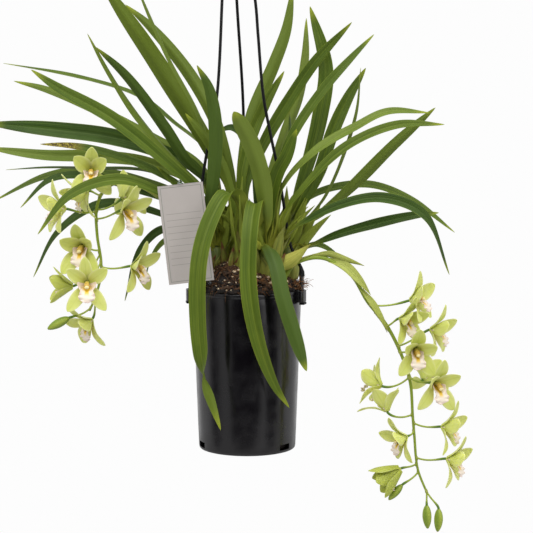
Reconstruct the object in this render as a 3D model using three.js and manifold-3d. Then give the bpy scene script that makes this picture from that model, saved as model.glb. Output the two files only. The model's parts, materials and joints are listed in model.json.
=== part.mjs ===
// A boat orchid (cymbidium) in a tall black hanging pot: seven leafy shoots, two arching
// sprays of pale green flowers, a plain label on a clear stake and a three-strand hanger.
// Millimetres, +Z up. The shapes are set out from the middle of the pot's underside, with the
// viewer on the -Y side, and the last lines move the whole so that the hook's seat is the origin.
import * as THREE from "three";
import { mergeVertices } from "three/addons/utils/BufferGeometryUtils.js";
import Module from "manifold-3d";

const wasm = await Module();
wasm.setup();

// Driving dimensions of the pot.
const POT_HEIGHT = 175;
const POT_TOP_RADIUS = 58.8;
const POT_FOOT_RADIUS = 52.4;
const POT_WALL = 1.8;
const POT_FLOOR = 2.2;
const POT_CHAMFER = 2.4;
const POT_SIDES = 28;
const LIP_REACH = 1.2;
const LIP_HEIGHT = 4;
const DRAIN_RADIUS = 7;
const NOTCH_ANGLES = [-39, 81, 201];
const NOTCH_WIDTH = 16;
const NOTCH_BOTTOM = 3.4;
const NOTCH_TOP = 9.6;

// Ears of the pot, one under each strand of the hanger.
const EAR_ANGLES = { left: 190, right: -20, back: 85 };
const EAR_REACH = 7.4;
const EAR_WIDTH = 15;
const EAR_HEIGHT = 12.5;
const EAR_WALL = 1.7;
const EAR_ROOT = 4;
const EAR_SLOT_BACK = 1.4;

// Growing medium.
const SOIL_GAP = 0.4;
const SOIL_EDGE_Z = 173.5;
const SOIL_TOP_Z = 198;
const SEAT_GAP = 0.35;
const MOUND_SHARES = [0.93, 0.8, 0.6, 0.35];
const MOUND_ROUNDNESS = 2.6;

// Shoots: the bulb at the foot of each fan of leaves, and the direction of the fan in plan.
const BULB = { across: 11, deep: 10, halfHeight: 24, z: 198, sides: 9, rings: 7 };
const SHOOTS = {
  left_front: { at: [-33, -6], fan: 0 },
  left_back: { at: [-39, 22], fan: 5 },
  middle_back: { at: [-11, 24], fan: -5 },
  centre_front: { at: [-5, -15], fan: 80 },
  right_front: { at: [22, -17], fan: 0 },
  right: { at: [43, 3], fan: 0 },
  right_back: { at: [17, 23], fan: 10 },
};

// Leaves. The bases stand in a row along the fan, rank by rank from its middle.
const LEAF_THICKNESS = 1;
const LEAF_TIP_THICKNESS = 0.7;
const LEAF_BASE_WIDTH = 7;
const LEAF_TIP_WIDTH = 1.2;
const TAPER_START = 0.4;
const TAPER_ROUNDNESS = 2.2;
const BLADE_TURNS = [0.04, 0.3];
const BLADE_WIDENS = [0.03, 0.35];
const LEAF_STEPS = [6, 11];
const LEAF_STEP_LENGTH = 27;
const LEAF_FOLD = 0.22;
const RANK_START = 1.3;
const RANK_STEP = 2.1;
const RANK_LEAN = 6;
const NECK_LENGTH = 16;
const BASE_INSET = 1.3;
const FLAT_SIDES = 4;

// Each leaf: its rank in the fan, its greatest width, the way its blade lies across
// (toward 0,1,0 it is seen edge-on and toward 0,0,1 or 1,0,0 full-faced) and the points it passes.
const LEAVES = {
  left_front: [
    ["leaf_left_low_tip", -6, 9, [0, 0.7, 0.6], [
      [-61, -12, 226], [-85, -14, 228], [-102, -16, 208], [-110, -18, 181],
    ]],
    ["leaf_left_hooked", -5, 11, [0, 0.5, 0.8], [
      [-60, -4, 234], [-91, -2, 238], [-114, -3, 216], [-132, -5, 161],
    ]],
    ["leaf_left_over_flowers", -4, 14, [0, 0.5, 0.8], [
      [-58, -11, 253], [-72, -19, 267], [-91, -34, 280], [-135, -56, 296], [-183, -70, 281],
      [-217, -76, 241],
    ]],
    ["leaf_left_spotted_tip", -3, 11, [0, 0.6, 0.75], [
      [-56, -6, 271], [-98, -8, 301], [-153, -10, 322], [-188, -12, 329], [-220, -14, 331],
    ]],
    ["leaf_left_broad", -1, 17, [0, 0.3, 0.95], [
      [-50, -10, 275], [-87, -24, 313], [-142, -36, 359], [-198, -44, 392], [-225, -48, 411],
    ]],
    ["leaf_left_small", -2, 8, [0.6, 0.5, 0.5], [
      [-50, -16, 262], [-69, -18, 280], [-81, -20, 293], [-96, -22, 308],
    ]],
    ["leaf_left_slim", 1, 12, [0.3, 0.9, 0.3], [
      [-42, 2, 276], [-73, 0, 309], [-116, -6, 360], [-145, -12, 405], [-168, -20, 448],
    ]],
    ["leaf_left_upright_slim", 2, 12, [0.4, 0.9, 0], [
      [-36, -10, 303], [-48, -20, 358], [-81, -30, 423], [-108, -36, 483], [-116, -38, 504],
    ]],
    ["leaf_left_twisted", 3, 16, [1, 0.1, 0], [
      [-38, -34, 261], [-34, -46, 303], [-32, -54, 349], [-38, -60, 390], [-51, -66, 416],
    ]],
  ],
  left_back: [
    ["leaf_far_left_drooping", -6, 13, [0, 0.7, 0.7], [
      [-73, 24, 240], [-122, 28, 260], [-160, 26, 262], [-206, 22, 232], [-233, 18, 184],
    ]],
    ["leaf_far_left_bent", -5, 12, [0, 0.7, 0.7], [
      [-73, 30, 258], [-126, 34, 279], [-171, 30, 293], [-213, 24, 290], [-246, 18, 260],
    ]],
    ["leaf_far_left_long", -4, 14, [0, 0.85, 0.5], [
      [-68, 40, 266], [-118, 56, 286], [-174, 64, 296], [-225, 68, 289], [-283, 70, 262],
    ]],
    ["leaf_far_left_edge_on", -3, 12, [0, 1, 0.1], [
      [-62, 30, 276], [-107, 38, 297], [-167, 42, 300], [-216, 46, 301], [-265, 48, 299],
    ]],
    ["leaf_far_left_pale", -2, 16, [0, 0.4, 0.9], [
      [-57, 44, 282], [-108, 70, 304], [-165, 88, 310], [-228, 102, 311], [-295, 112, 319],
    ]],
    ["leaf_far_left_dark", -1, 17, [0, 0.4, 0.9], [
      [-54, 26, 298], [-100, 27, 322], [-150, 26, 336], [-204, 28, 343], [-284, 30, 351],
    ]],
    ["leaf_far_left_behind", 1, 13, [0, 0.5, 0.85], [
      [-46, 40, 298], [-107, 56, 336], [-174, 70, 368], [-225, 78, 387], [-259, 82, 395],
    ]],
  ],
  middle_back: [
    ["leaf_back_left_slim", -4, 14, [0, 1, 0.1], [
      [-40, 44, 312], [-84, 72, 350], [-123, 96, 377], [-195, 126, 398], [-279, 150, 413],
    ]],
    ["leaf_upper_left_dark", -3, 14, [0.5, -0.3, 0.8], [
      [-36, 14, 282], [-64, 5, 310], [-89, 2, 348], [-129, -2, 403], [-161, -6, 434],
    ]],
    ["leaf_upper_left_bright", -2, 22, [0.8, -0.2, 0.5], [
      [-24, 20, 290], [-43, 6, 329], [-67, -4, 370], [-108, -10, 435], [-156, -14, 506],
    ]],
    ["leaf_upper_left_back", -1, 16, [0.8, -0.2, 0.5], [
      [-18, 34, 289], [-36, 44, 353], [-64, 56, 403], [-105, 66, 453], [-134, 72, 479],
    ]],
    ["leaf_upper_middle", 1, 15, [0.9, 0.2, -0.3], [
      [-5, 30, 306], [5, 38, 357], [29, 50, 413], [43, 58, 452], [50, 66, 499],
    ]],
  ],
  centre_front: [
    ["leaf_front_left_arching", -4, 18, [1, -0.2, 0], [
      [-3, -35, 256], [-11, -46, 277], [-21, -55, 280], [-36, -68, 257], [-48, -78, 217],
      [-50, -82, 150], [-43, -82, 90], [-27, -82, 35],
    ]],
    ["leaf_front_folded", -2, 20, [1, 0, 0], [
      [9, -23, 250], [10, -31, 265], [9, -44, 269], [5, -61, 247], [3, -74, 192], [12, -78, 133],
      [29, -78, 84], [45, -78, 58],
    ]],
    ["leaf_centre_bright_tip", -1, 12, [0.8, 0.3, 0.5], [
      [-14, -22, 272], [-26, -28, 310], [-41, -36, 336], [-64, -44, 365],
    ]],
    ["leaf_centre_right_bright", 1, 14, [0.9, 0.3, -0.4], [
      [-7, -6, 292], [3, 2, 335], [21, 6, 376], [40, 8, 408],
    ]],
    ["leaf_centre_right_tall", 2, 15, [0.8, 0.4, -0.5], [
      [-2, 2, 286], [16, 12, 328], [44, 18, 376], [73, 22, 418], [113, 26, 460],
    ]],
  ],
  right_front: [
    ["leaf_front_right_drooping", -3, 16, [1, 0.2, 0], [
      [16, -30, 224], [22, -44, 226], [31, -60, 208], [38, -72, 176], [49, -76, 140], [63, -78, 97],
    ]],
    ["leaf_front_centre_tall", -1, 17, [1, -0.1, 0.1], [
      [20, -25, 256], [16, -38, 295], [4, -52, 334], [-13, -64, 368],
    ]],
    ["leaf_centre_pointed", 1, 16, [0.9, -0.2, -0.3], [
      [26, -16, 272], [34, -20, 303], [43, -25, 320], [53, -30, 348],
    ]],
    ["leaf_right_slanting", 2, 12, [0.6, -0.4, -0.6], [
      [32, 1, 290], [49, 2, 338], [82, 4, 388], [111, 6, 421], [136, 9, 447],
    ]],
    ["leaf_right_arching_high", 3, 12, [0, 0.6, 0.8], [
      [39, -18, 285], [73, -22, 324], [116, -25, 350], [149, -25, 366], [193, -25, 365],
    ]],
    ["leaf_right_arching_front", 4, 12, [0, 0.5, 0.85], [
      [40, -28, 254], [63, -40, 289], [105, -46, 330], [157, -50, 353], [207, -52, 354],
    ]],
    ["leaf_right_drooping", 5, 13, [0, 0.5, 0.85], [
      [50, -34, 241], [96, -50, 268], [143, -58, 277], [185, -62, 260], [213, -62, 197],
    ]],
  ],
  right: [
    ["leaf_right_wide", -2, 18, [1, 0.1, 0], [
      [52, 12, 269], [67, 22, 312], [79, 30, 360], [85, 34, 411], [68, 38, 477],
    ]],
    ["leaf_right_stout", -1, 16, [0.9, 0.2, -0.4], [
      [58, 6, 264], [77, 10, 299], [91, 14, 341], [108, 18, 378], [128, 22, 411],
    ]],
    ["leaf_right_narrow", 1, 11, [0.4, 0.9, 0], [
      [61, -4, 247], [83, -8, 271], [106, -10, 322], [118, -12, 365], [121, -14, 412],
    ]],
    ["leaf_right_straight", 2, 14, [0.4, 0.3, -0.8], [
      [62, 10, 240], [85, 16, 257], [122, 20, 290], [161, 24, 329], [204, 28, 368],
    ]],
    ["leaf_right_low_dark", 5, 12, [0, 0.4, 0.9], [
      [66, -3, 219], [97, -8, 233], [145, -12, 247], [180, -16, 255], [205, -18, 258],
    ]],
    ["leaf_right_short", 4, 8, [0, 0.7, 0.7], [
      [61, 17, 217], [76, 22, 219], [90, 24, 213], [102, 24, 204],
    ]],
  ],
  right_back: [
    ["leaf_back_crossing", -2, 13, [0.3, 0.5, 0.8], [
      [8, 40, 300], [-3, 50, 334], [-17, 51, 345], [-34, 49, 340],
    ]],
    ["leaf_back_tall", 1, 13, [0.9, 0.4, -0.2], [
      [25, 34, 289], [41, 48, 337], [57, 60, 378], [64, 70, 420], [65, 78, 464],
    ]],
    ["leaf_back_short", 2, 9, [0.5, 0.8, 0], [
      [32, 26, 279], [43, 30, 311], [47, 30, 338], [46, 32, 366],
    ]],
    ["leaf_back_right_arching", 4, 12, [0, 0.7, 0.7], [
      [50, 34, 254], [79, 46, 274], [134, 58, 281], [182, 64, 263], [230, 66, 228],
    ]],
  ],
};

// Flower sprays: the stem's route, the flowers on it (where the stalk meets the flower's back, the
// way the flower faces, its size, and the height where its stalk leaves the stem) and the buds.
const STEM_RADIUS = 2;
const STEM_TIP_RADIUS = 1.1;
const PEDICEL_RADIUS = 0.95;
const PEDICEL_SAG = 6;
const TEPAL_LENGTH = 28;
const TEPAL_THICKNESS = 1.6;
const TEPAL_ANGLES = [90, 162, 234, 306, 378];
const TEPAL_OUTLINE = [[0.19, -36], [0.6, -23], [1, 0], [0.6, 23]];
const CUP_DEPTH = 8;
const CUP_TURN = 2.3;
const LIP_HALF_WIDTH = 5.5;
const LIP_HALF_THICKNESS = 1.6;
const LIP_ROUTE = [[0, 0, -0.3], [0, -8, 13]];
const BUD = { length: 27, radius: 5 };
const SPRAYS = {
  flower_spray_left: {
    hangsFrom: [-151, -31, 283],
    stem: [
      [-42, -14, 172], [-47, -17, 194], [-55, -20, 226], [-72, -22, 252], [-92, -24, 274],
      [-118, -28, 291], [-138, -30, 291], [-151, -31, 283], [-159, -31, 265], [-159, -31, 236],
      [-155, -31, 207], [-156, -31, 189], [-162, -31, 168], [-168, -31, 154],
    ],
    flowers: [
      [[-164, -36, 303], [0.05, -1, 0.1], 0.95, 283],
      [[-169, -25, 282], [-0.75, -0.3, -0.45], 0.95, 277],
      [[-192, -34, 264], [-0.9, -0.4, 0.05], 0.95, 260],
      [[-131, -38, 263], [0.65, -0.7, -0.2], 1, 253],
      [[-134, -18, 273], [0.4, 0.7, 0.4], 0.9, 262],
      [[-173, -44, 224], [-0.15, -0.95, -0.1], 1, 219],
      [[-168, -50, 187], [0, -1, -0.05], 1.05, 207],
      [[-186, -26, 180], [-0.9, -0.2, 0.1], 0.85, 216],
      [[-122, -36, 203], [0.8, -0.5, -0.1], 0.95, 202],
      [[-166, -26, 144], [-0.6, -0.55, -0.5], 0.9, 168],
    ],
    buds: [[[-190, -34, 147], [-0.88, 0, -0.47], 1, 158]],
  },
  flower_spray_right: {
    hangsFrom: [102, -29, 200],
    stem: [
      [34, -17, 172], [42, -20, 191], [50, -23, 203], [63, -24, 209], [76, -26, 211], [89, -28, 208],
      [112, -30, 192], [129, -31, 164], [149, -31, 139], [164, -31, 110], [175, -31, 77],
      [178, -31, 41], [180, -31, 19], [184, -31, -18], [194, -31, -44],
    ],
    flowers: [
      [[174, -34, 166], [0.88, -0.4, 0.25], 0.95, 161],
      [[163, -44, 148], [0.75, -0.6, -0.15], 0.9, 137],
      [[197, -18, 132], [0.92, -0.35, -0.05], 0.95, 116],
      [[178, -50, 116], [0.45, -0.85, -0.15], 0.95, 109],
      [[190, -18, 77], [0.35, 0.75, 0.55], 0.9, 84],
      [[198, -48, 79], [0.55, -0.8, -0.15], 1, 82],
      [[145, -22, 71], [-0.75, 0.35, 0.35], 0.9, 83],
      [[150, -36, 46], [-0.25, 0.35, 0.9], 0.9, 42],
      [[209, -34, 29], [0.9, -0.35, -0.05], 0.95, 32],
      [[171, -42, 20], [-0.85, -0.4, -0.25], 0.9, 23],
      [[215, -34, -6], [0.9, -0.4, -0.1], 0.95, -6],
      [[163, -34, -20], [-0.85, -0.3, -0.3], 0.85, -12],
    ],
    buds: [
      [[167, -34, -35], [-0.65, 0, -0.75], 0.85, -21],
      [[194, -32, -58], [0.05, 0, -1], 1, -43],
      [[207, -32, -62], [-0.04, 0, -1], 0.98, -42],
    ],
  },
};

// Hanger: three strands that clip into the ears and meet under the hook.
const STRAND_RADIUS = 1.1;
const CLIP = { width: 7, thick: 2.4, foot: 2.4, rise: 5, play: 1, toe: 3 };
const HUB = { at: [-17, 2], bottom: 628, height: 9, radius: 6 };
const STRAND_SPREAD = 3.4;
const HOOK_INNER_RADIUS = 12;
const HOOK_WIRE_RADIUS = 1.7;
const HOOK_NECK = 22;
const HOOK_ARC = [205, 180, 150, 120, 90, 60, 30, 0, -25];
const STRAND_ROUTES = {
  left: [
    [-58, -27, 215], [-51, -32, 260], [-46, -30, 300], [-41, -27, 330], [-32, -20, 378],
    [-26, -10, 483],
  ],
  right: [
    [47, -14, 222], [39, -9, 269], [34, -8, 300], [25.5, -6, 340], [17.5, -4, 383], [12, -1, 447],
    [9, 0, 483],
  ],
  back: [[0, 63, 240], [-3, 62, 300], [-5, 54, 380], [-11, 24, 484]],
};

// Label, standing in front of the leaves, and the clear stake that holds it.
const LABEL = { width: 48, height: 105, thick: 0.6, centre: [-64, -47, 239], tilt: 6.5 };
const STAKE = { width: 3.4, thick: 1.2, head: 5, headDepth: 4, low: [-44, 199] };
const STAKE_FOOT = [[-34, -33, 162], [-36.5, -36.5, 178], [-39.5, -41, 186]];

const vec = (p) => new THREE.Vector3(...p);
const turned = (degrees) => THREE.MathUtils.degToRad(degrees);

// Turns a closed geometry into a manifold-3d solid.
function toSolid(geometry) {
  const bare = geometry.clone();
  bare.deleteAttribute("normal");
  bare.deleteAttribute("uv");
  const merged = mergeVertices(bare, 1e-4);
  const vertProperties = new Float32Array(merged.attributes.position.array);
  const triVerts = new Uint32Array(merged.index.array);
  return new wasm.Manifold(new wasm.Mesh({ numProp: 3, vertProperties, triVerts }));
}

// Turns a manifold-3d solid back into a geometry.
function toGeometry(solid) {
  const mesh = solid.getMesh();
  const geometry = new THREE.BufferGeometry();
  geometry.setAttribute("position", new THREE.BufferAttribute(mesh.vertProperties, 3));
  geometry.setIndex(new THREE.BufferAttribute(mesh.triVerts, 1));
  return geometry;
}

// On a flat four-sided strap, splits the quads of the back (its first and last columns) the
// other way, so that the triangles of front and back run side by side and can't cross in a twist.
function matchDiagonals(index, steps) {
  for (const column of [0, FLAT_SIDES - 1]) {
    for (let step = 0; step < steps; step++) {
      const first = 6 * (column * steps + step);
      const [a, b, d, , c] = index.array.slice(first, first + 6);
      index.array.set([a, b, c, a, c, d], first);
    }
  }
}

// Lays a unit cylinder along a route: its height runs along the curve, and its two cross
// directions are scaled by half the width and half the thickness at each place. A fold lifts
// both edges toward the face side, so that the section turns from a lens into a shallow V.
function bentAlong(points, sides, steps, halfWidth, halfThick, sideAt, fold = 0) {
  const curve = new THREE.CatmullRomCurve3(points.map(vec), false, "centripetal");
  const geometry = new THREE.CylinderGeometry(1, 1, 1, sides, steps);
  const position = geometry.attributes.position;
  if (sides === FLAT_SIDES) matchDiagonals(geometry.index, steps);
  const frames = Array.from({ length: steps + 1 }, (_, i) => {
    const t = i / steps;
    const along = curve.getTangentAt(t);
    const side = sideAt(t);
    side.addScaledVector(along, -side.dot(along)).normalize();
    return { t, at: curve.getPointAt(t), side, face: new THREE.Vector3().crossVectors(along, side) };
  });
  for (let i = 0; i < position.count; i++) {
    const frame = frames[Math.round((position.getY(i) + 0.5) * steps)];
    const across = position.getX(i) * halfWidth(frame.t);
    const through = -position.getZ(i) * halfThick(frame.t) + fold * Math.abs(across);
    const p = frame.at.clone().addScaledVector(frame.side, across).addScaledVector(frame.face, through);
    position.setXYZ(i, p.x, p.y, p.z);
  }
  return geometry;
}

// A round rod along a route, thinning evenly from one end to the other.
function rod(points, radius, sides, steps, endRadius = radius) {
  const across = vec([0, 1, 0]);
  const at = (t) => THREE.MathUtils.lerp(radius, endRadius, t);
  return bentAlong(points, sides, steps, at, at, () => across.clone());
}

// A block with its middle at a place, turned about Z.
function block(width, depth, height, at, angle = 0) {
  return new THREE.BoxGeometry(width, depth, height).rotateZ(turned(angle)).translate(...at);
}

// A place at a radius and an angle round the pot.
function round(radius, angle, z) {
  return [radius * Math.cos(turned(angle)), radius * Math.sin(turned(angle)), z];
}

// Outer radius of the pot's wall at a height.
function wallAt(z) {
  return THREE.MathUtils.lerp(POT_FOOT_RADIUS, POT_TOP_RADIUS, z / POT_HEIGHT);
}

// Pot: a turned shell with a thickened lip, three drain notches and three open ears.
function potGeometry() {
  const profile = [
    [DRAIN_RADIUS, 0],
    [POT_FOOT_RADIUS - POT_CHAMFER, 0],
    [wallAt(POT_CHAMFER), POT_CHAMFER],
    [wallAt(POT_HEIGHT - LIP_HEIGHT), POT_HEIGHT - LIP_HEIGHT],
    [POT_TOP_RADIUS + LIP_REACH, POT_HEIGHT - LIP_HEIGHT / 2],
    [POT_TOP_RADIUS + LIP_REACH, POT_HEIGHT],
    [POT_TOP_RADIUS - POT_WALL, POT_HEIGHT],
    [wallAt(POT_FLOOR) - POT_WALL, POT_FLOOR],
    [DRAIN_RADIUS, POT_FLOOR],
    [DRAIN_RADIUS, 0],
  ].map(([r, z]) => new THREE.Vector2(r, z));
  const turnedShell = new THREE.LatheGeometry(profile, POT_SIDES).rotateX(Math.PI / 2);
  let pot = toSolid(turnedShell);
  for (const angle of NOTCH_ANGLES) {
    const middle = (NOTCH_BOTTOM + NOTCH_TOP) / 2;
    const at = round(POT_FOOT_RADIUS, angle, middle);
    const notch = block(NOTCH_WIDTH, NOTCH_WIDTH, NOTCH_TOP - NOTCH_BOTTOM, at, angle);
    pot = pot.subtract(toSolid(notch));
  }
  for (const angle of Object.values(EAR_ANGLES)) {
    const outer = POT_TOP_RADIUS + EAR_REACH;
    const middle = POT_HEIGHT - EAR_HEIGHT / 2;
    const depth = EAR_REACH + EAR_ROOT;
    const whole = block(depth, EAR_WIDTH, EAR_HEIGHT, round(outer - depth / 2, angle, middle), angle);
    const mouth = POT_TOP_RADIUS - POT_WALL;
    const kept = new THREE.CylinderGeometry(mouth, mouth, 2 * EAR_HEIGHT, POT_SIDES);
    kept.rotateX(Math.PI / 2).translate(0, 0, middle);
    const slotDepth = EAR_REACH - EAR_WALL - EAR_SLOT_BACK;
    const slotAt = round(outer - EAR_WALL - slotDepth / 2, angle, middle);
    const slot = block(slotDepth, EAR_WIDTH - 2 * EAR_WALL, 2 * EAR_HEIGHT, slotAt, angle);
    pot = pot.add(toSolid(whole).subtract(toSolid(kept))).subtract(toSolid(slot));
  }
  return toGeometry(pot);
}

// Growing medium: fills the pot, rises to a mound, and is hollowed where each bulb sits.
function soilGeometry() {
  const inner = (z) => wallAt(z) - POT_WALL - SOIL_GAP;
  const bottom = POT_FLOOR + SOIL_GAP;
  const rise = SOIL_TOP_Z - SOIL_EDGE_Z;
  const mound = MOUND_SHARES.map((share) => [
    share * inner(SOIL_EDGE_Z),
    SOIL_EDGE_Z + rise * (1 - share ** MOUND_ROUNDNESS),
  ]);
  const wall = [[0, bottom], [inner(bottom), bottom], [inner(SOIL_EDGE_Z), SOIL_EDGE_Z]];
  const profile = [...wall, ...mound, [0, SOIL_TOP_Z]];
  const lathe = new THREE.LatheGeometry(profile.map(([r, z]) => new THREE.Vector2(r, z)), POT_SIDES);
  let soil = toSolid(lathe.rotateX(Math.PI / 2));
  for (const { at } of Object.values(SHOOTS)) soil = soil.subtract(toSolid(bulbGeometry(at, SEAT_GAP)));
  for (const { stem } of Object.values(SPRAYS)) {
    const deeper = stem[0].map((v, i) => v - (stem[1][i] - v) * 0.05);
    soil = soil.subtract(toSolid(rod([deeper, ...stem.slice(0, 3)], STEM_RADIUS + 2 * SEAT_GAP, 6, 6)));
  }
  return toGeometry(soil.subtract(toSolid(stakeGeometry(2 * SEAT_GAP))));
}

// Bulb: an egg standing half in the growing medium.
function bulbGeometry([x, y], margin = 0) {
  const egg = new THREE.SphereGeometry(1, BULB.sides, BULB.rings).rotateX(Math.PI / 2);
  egg.scale(BULB.across + margin, BULB.deep + margin, BULB.halfHeight + margin);
  return egg.translate(x, y, BULB.z);
}

// Height of the bulb's faceted surface above its middle, at a distance from its axis.
function bulbHeightAt(distance) {
  const step = Math.PI / BULB.rings;
  const ring = Math.floor(Math.asin(distance / BULB.deep) / step);
  const ringAt = (k) => ({ out: BULB.deep * Math.sin(k * step), up: Math.cos(k * step) });
  const [near, far] = [ringAt(ring), ringAt(ring + 1)];
  const share = (distance - near.out) / (far.out - near.out);
  return BULB.halfHeight * THREE.MathUtils.lerp(near.up, far.up, share);
}

// Where a leaf of a given rank starts on its shoot: the place and the way it leans.
function leafSeat(shoot, rank) {
  const out = Math.sign(rank);
  const offset = RANK_START + RANK_STEP * (Math.abs(rank) - 1);
  const inward = THREE.MathUtils.clamp(offset - BASE_INSET, 0, BULB.deep * 0.97);
  const height = bulbHeightAt(inward);
  const fan = vec([Math.cos(turned(shoot.fan)), Math.sin(turned(shoot.fan)), 0]);
  const base = vec([...shoot.at, BULB.z + height + SEAT_GAP]).addScaledVector(fan, out * offset);
  const lean = turned(RANK_LEAN * Math.abs(rank));
  const up = vec([0, 0, Math.cos(lean)]).addScaledVector(fan, out * Math.sin(lean));
  return { base, up, out, across: vec([-fan.y, fan.x, 0]) };
}

// Leaf: a thin strap, a little folded toward the middle of its fan, that stands on its bulb,
// widens above the neck and narrows to its tip.
function leafGeometry(shoot, rank, width, blade, points) {
  const { base, up, out, across } = leafSeat(shoot, rank);
  const neck = base.clone().addScaledVector(up, NECK_LENGTH);
  const route = [base.toArray(), neck.toArray(), ...points];
  const bladeSide = vec(blade).normalize();
  const flipped = bladeSide.dot(across) < 0;
  if (flipped) across.negate();
  const sideAt = (t) => across.clone().lerp(bladeSide, THREE.MathUtils.smoothstep(t, ...BLADE_TURNS));
  const halfWidth = (t) => {
    const opening = THREE.MathUtils.smoothstep(t, ...BLADE_WIDENS);
    const opened = THREE.MathUtils.lerp(LEAF_BASE_WIDTH, width, opening);
    const tapered = 1 - Math.max(0, (t - TAPER_START) / (1 - TAPER_START)) ** TAPER_ROUNDNESS;
    return Math.max(LEAF_TIP_WIDTH, opened * tapered) / 2;
  };
  const halfThick = (t) => THREE.MathUtils.lerp(LEAF_THICKNESS, LEAF_TIP_THICKNESS, t) / 2;
  const fold = LEAF_FOLD * out * (flipped ? -1 : 1);
  const length = route.slice(1).reduce((sum, p, i) => sum + vec(p).distanceTo(vec(route[i])), 0);
  const steps = THREE.MathUtils.clamp(Math.round(length / LEAF_STEP_LENGTH), ...LEAF_STEPS);
  return bentAlong(route, FLAT_SIDES, steps, halfWidth, halfThick, sideAt, fold);
}

// One flower, facing +Z with its back at the origin: five tepals spread in a shallow cup, and a lip.
function flowerSolid() {
  const rim = TEPAL_ANGLES.flatMap((angle) =>
    TEPAL_OUTLINE.map(([share, off]) => round(share * TEPAL_LENGTH, angle + off, 0)),
  );
  const outline = new THREE.Shape(rim.map(([x, y]) => new THREE.Vector2(x, y)));
  const star = new THREE.ExtrudeGeometry(outline, { depth: TEPAL_THICKNESS, bevelEnabled: false });
  star.translate(0, 0, -TEPAL_THICKNESS / 2);
  const position = star.attributes.position;
  const cup = (share) => CUP_DEPTH * Math.sin(CUP_TURN * share);
  for (let i = 0; i < position.count; i++) {
    const share = Math.hypot(position.getX(i), position.getY(i)) / TEPAL_LENGTH;
    position.setZ(i, position.getZ(i) + cup(share) - cup(TEPAL_OUTLINE[0][0]));
  }
  const lipHalfWidth = (t) => LIP_HALF_WIDTH * (0.6 + 0.4 * t);
  const across = () => vec([1, 0, 0]);
  const lip = bentAlong(LIP_ROUTE, FLAT_SIDES, 1, lipHalfWidth, () => LIP_HALF_THICKNESS, across);
  return toSolid(star).add(toSolid(lip));
}

// The turn and place that bring +Z to a direction, with +Y kept as near upright as it can be.
function facing(direction, at, scale) {
  const z = vec(direction).normalize();
  const upright = Math.abs(z.z) > 0.95 ? vec([0, 1, 0]) : vec([0, 0, 1]);
  const x = new THREE.Vector3().crossVectors(upright, z).normalize();
  const y = new THREE.Vector3().crossVectors(z, x);
  const matrix = new THREE.Matrix4().makeBasis(x, y, z).scale(vec([scale, scale, scale]));
  return matrix.setPosition(...at);
}

// The place on a stem, below the top of its arch, that is nearest to a height.
function stemAtHeight(stem, from, z) {
  const curve = new THREE.CatmullRomCurve3(stem.map(vec), false, "centripetal");
  const hanging = curve.getSpacedPoints(160).filter((p, i, all) => i >= nearestIndex(all, vec(from)));
  return hanging.reduce((best, p) => (Math.abs(p.z - z) < Math.abs(best.z - z) ? p : best));
}

function nearestIndex(points, target) {
  const distances = points.map((p) => p.distanceTo(target));
  return distances.indexOf(Math.min(...distances));
}

// Flower spray: the stem, a sagging stalk to each flower and bud, and the flowers themselves.
function sprayGeometry({ stem, hangsFrom, flowers, buds }) {
  let spray = toSolid(rod(stem, STEM_RADIUS, 6, 26, STEM_TIP_RADIUS));
  const flower = flowerSolid();
  const bud = new THREE.SphereGeometry(1, 6, 6).scale(BUD.radius, BUD.length / 2, BUD.radius);
  bud.rotateX(Math.PI / 2).translate(0, 0, BUD.length / 2 - 1);
  const stalkTo = (at, leavesAt) => {
    const from = stemAtHeight(stem, hangsFrom, leavesAt).toArray();
    const reach = Math.hypot(...from.map((v, i) => v - at[i]));
    const sag = from.map((v, i) => (v + at[i]) / 2 - (i === 2 ? Math.min(PEDICEL_SAG, reach / 4) : 0));
    return toSolid(rod([from, sag, at], PEDICEL_RADIUS, 4, 4));
  };
  for (const [at, direction, scale, leavesAt] of flowers) {
    const placed = flower.transform(facing(direction, at, scale).elements);
    spray = spray.add(stalkTo(at, leavesAt)).add(placed);
  }
  for (const [at, direction, scale, leavesAt] of buds) {
    const placed = bud.clone().applyMatrix4(facing(direction, at, scale));
    spray = spray.add(stalkTo(at, leavesAt)).add(toSolid(placed));
  }
  return toGeometry(spray);
}

// Hanger strand: a tongue through its ear with a foot under it, and a rod up to the hub.
function strandGeometry(side) {
  const angle = EAR_ANGLES[side];
  const radius = POT_TOP_RADIUS + EAR_REACH - EAR_WALL - CLIP.play - CLIP.thick / 2;
  const under = POT_HEIGHT - EAR_HEIGHT - SEAT_GAP;
  const top = POT_HEIGHT + CLIP.rise;
  const tongueHeight = top - under + CLIP.foot;
  const tongueAt = round(radius, angle, top - tongueHeight / 2);
  const footAt = round(radius + CLIP.toe / 2, angle, under - CLIP.foot / 2);
  const tongue = block(CLIP.thick, CLIP.width, tongueHeight, tongueAt, angle);
  const foot = block(CLIP.thick + CLIP.toe, CLIP.width, CLIP.foot, footAt, angle);
  const [x, y] = HUB.at;
  const out = round(STRAND_SPREAD, angle, 0);
  const hubPoint = [x + out[0], y + out[1], HUB.bottom - SEAT_GAP];
  const below = [x + out[0] * 1.6, y + out[1] * 1.6, HUB.bottom - 20];
  const start = [round(radius, angle, top - 3), round(radius, angle, top + 4)];
  const route = [...start, ...STRAND_ROUTES[side], below, hubPoint];
  const strand = rod(route, STRAND_RADIUS, 6, 18);
  return toGeometry(toSolid(strand).add(toSolid(tongue)).add(toSolid(foot)));
}

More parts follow.
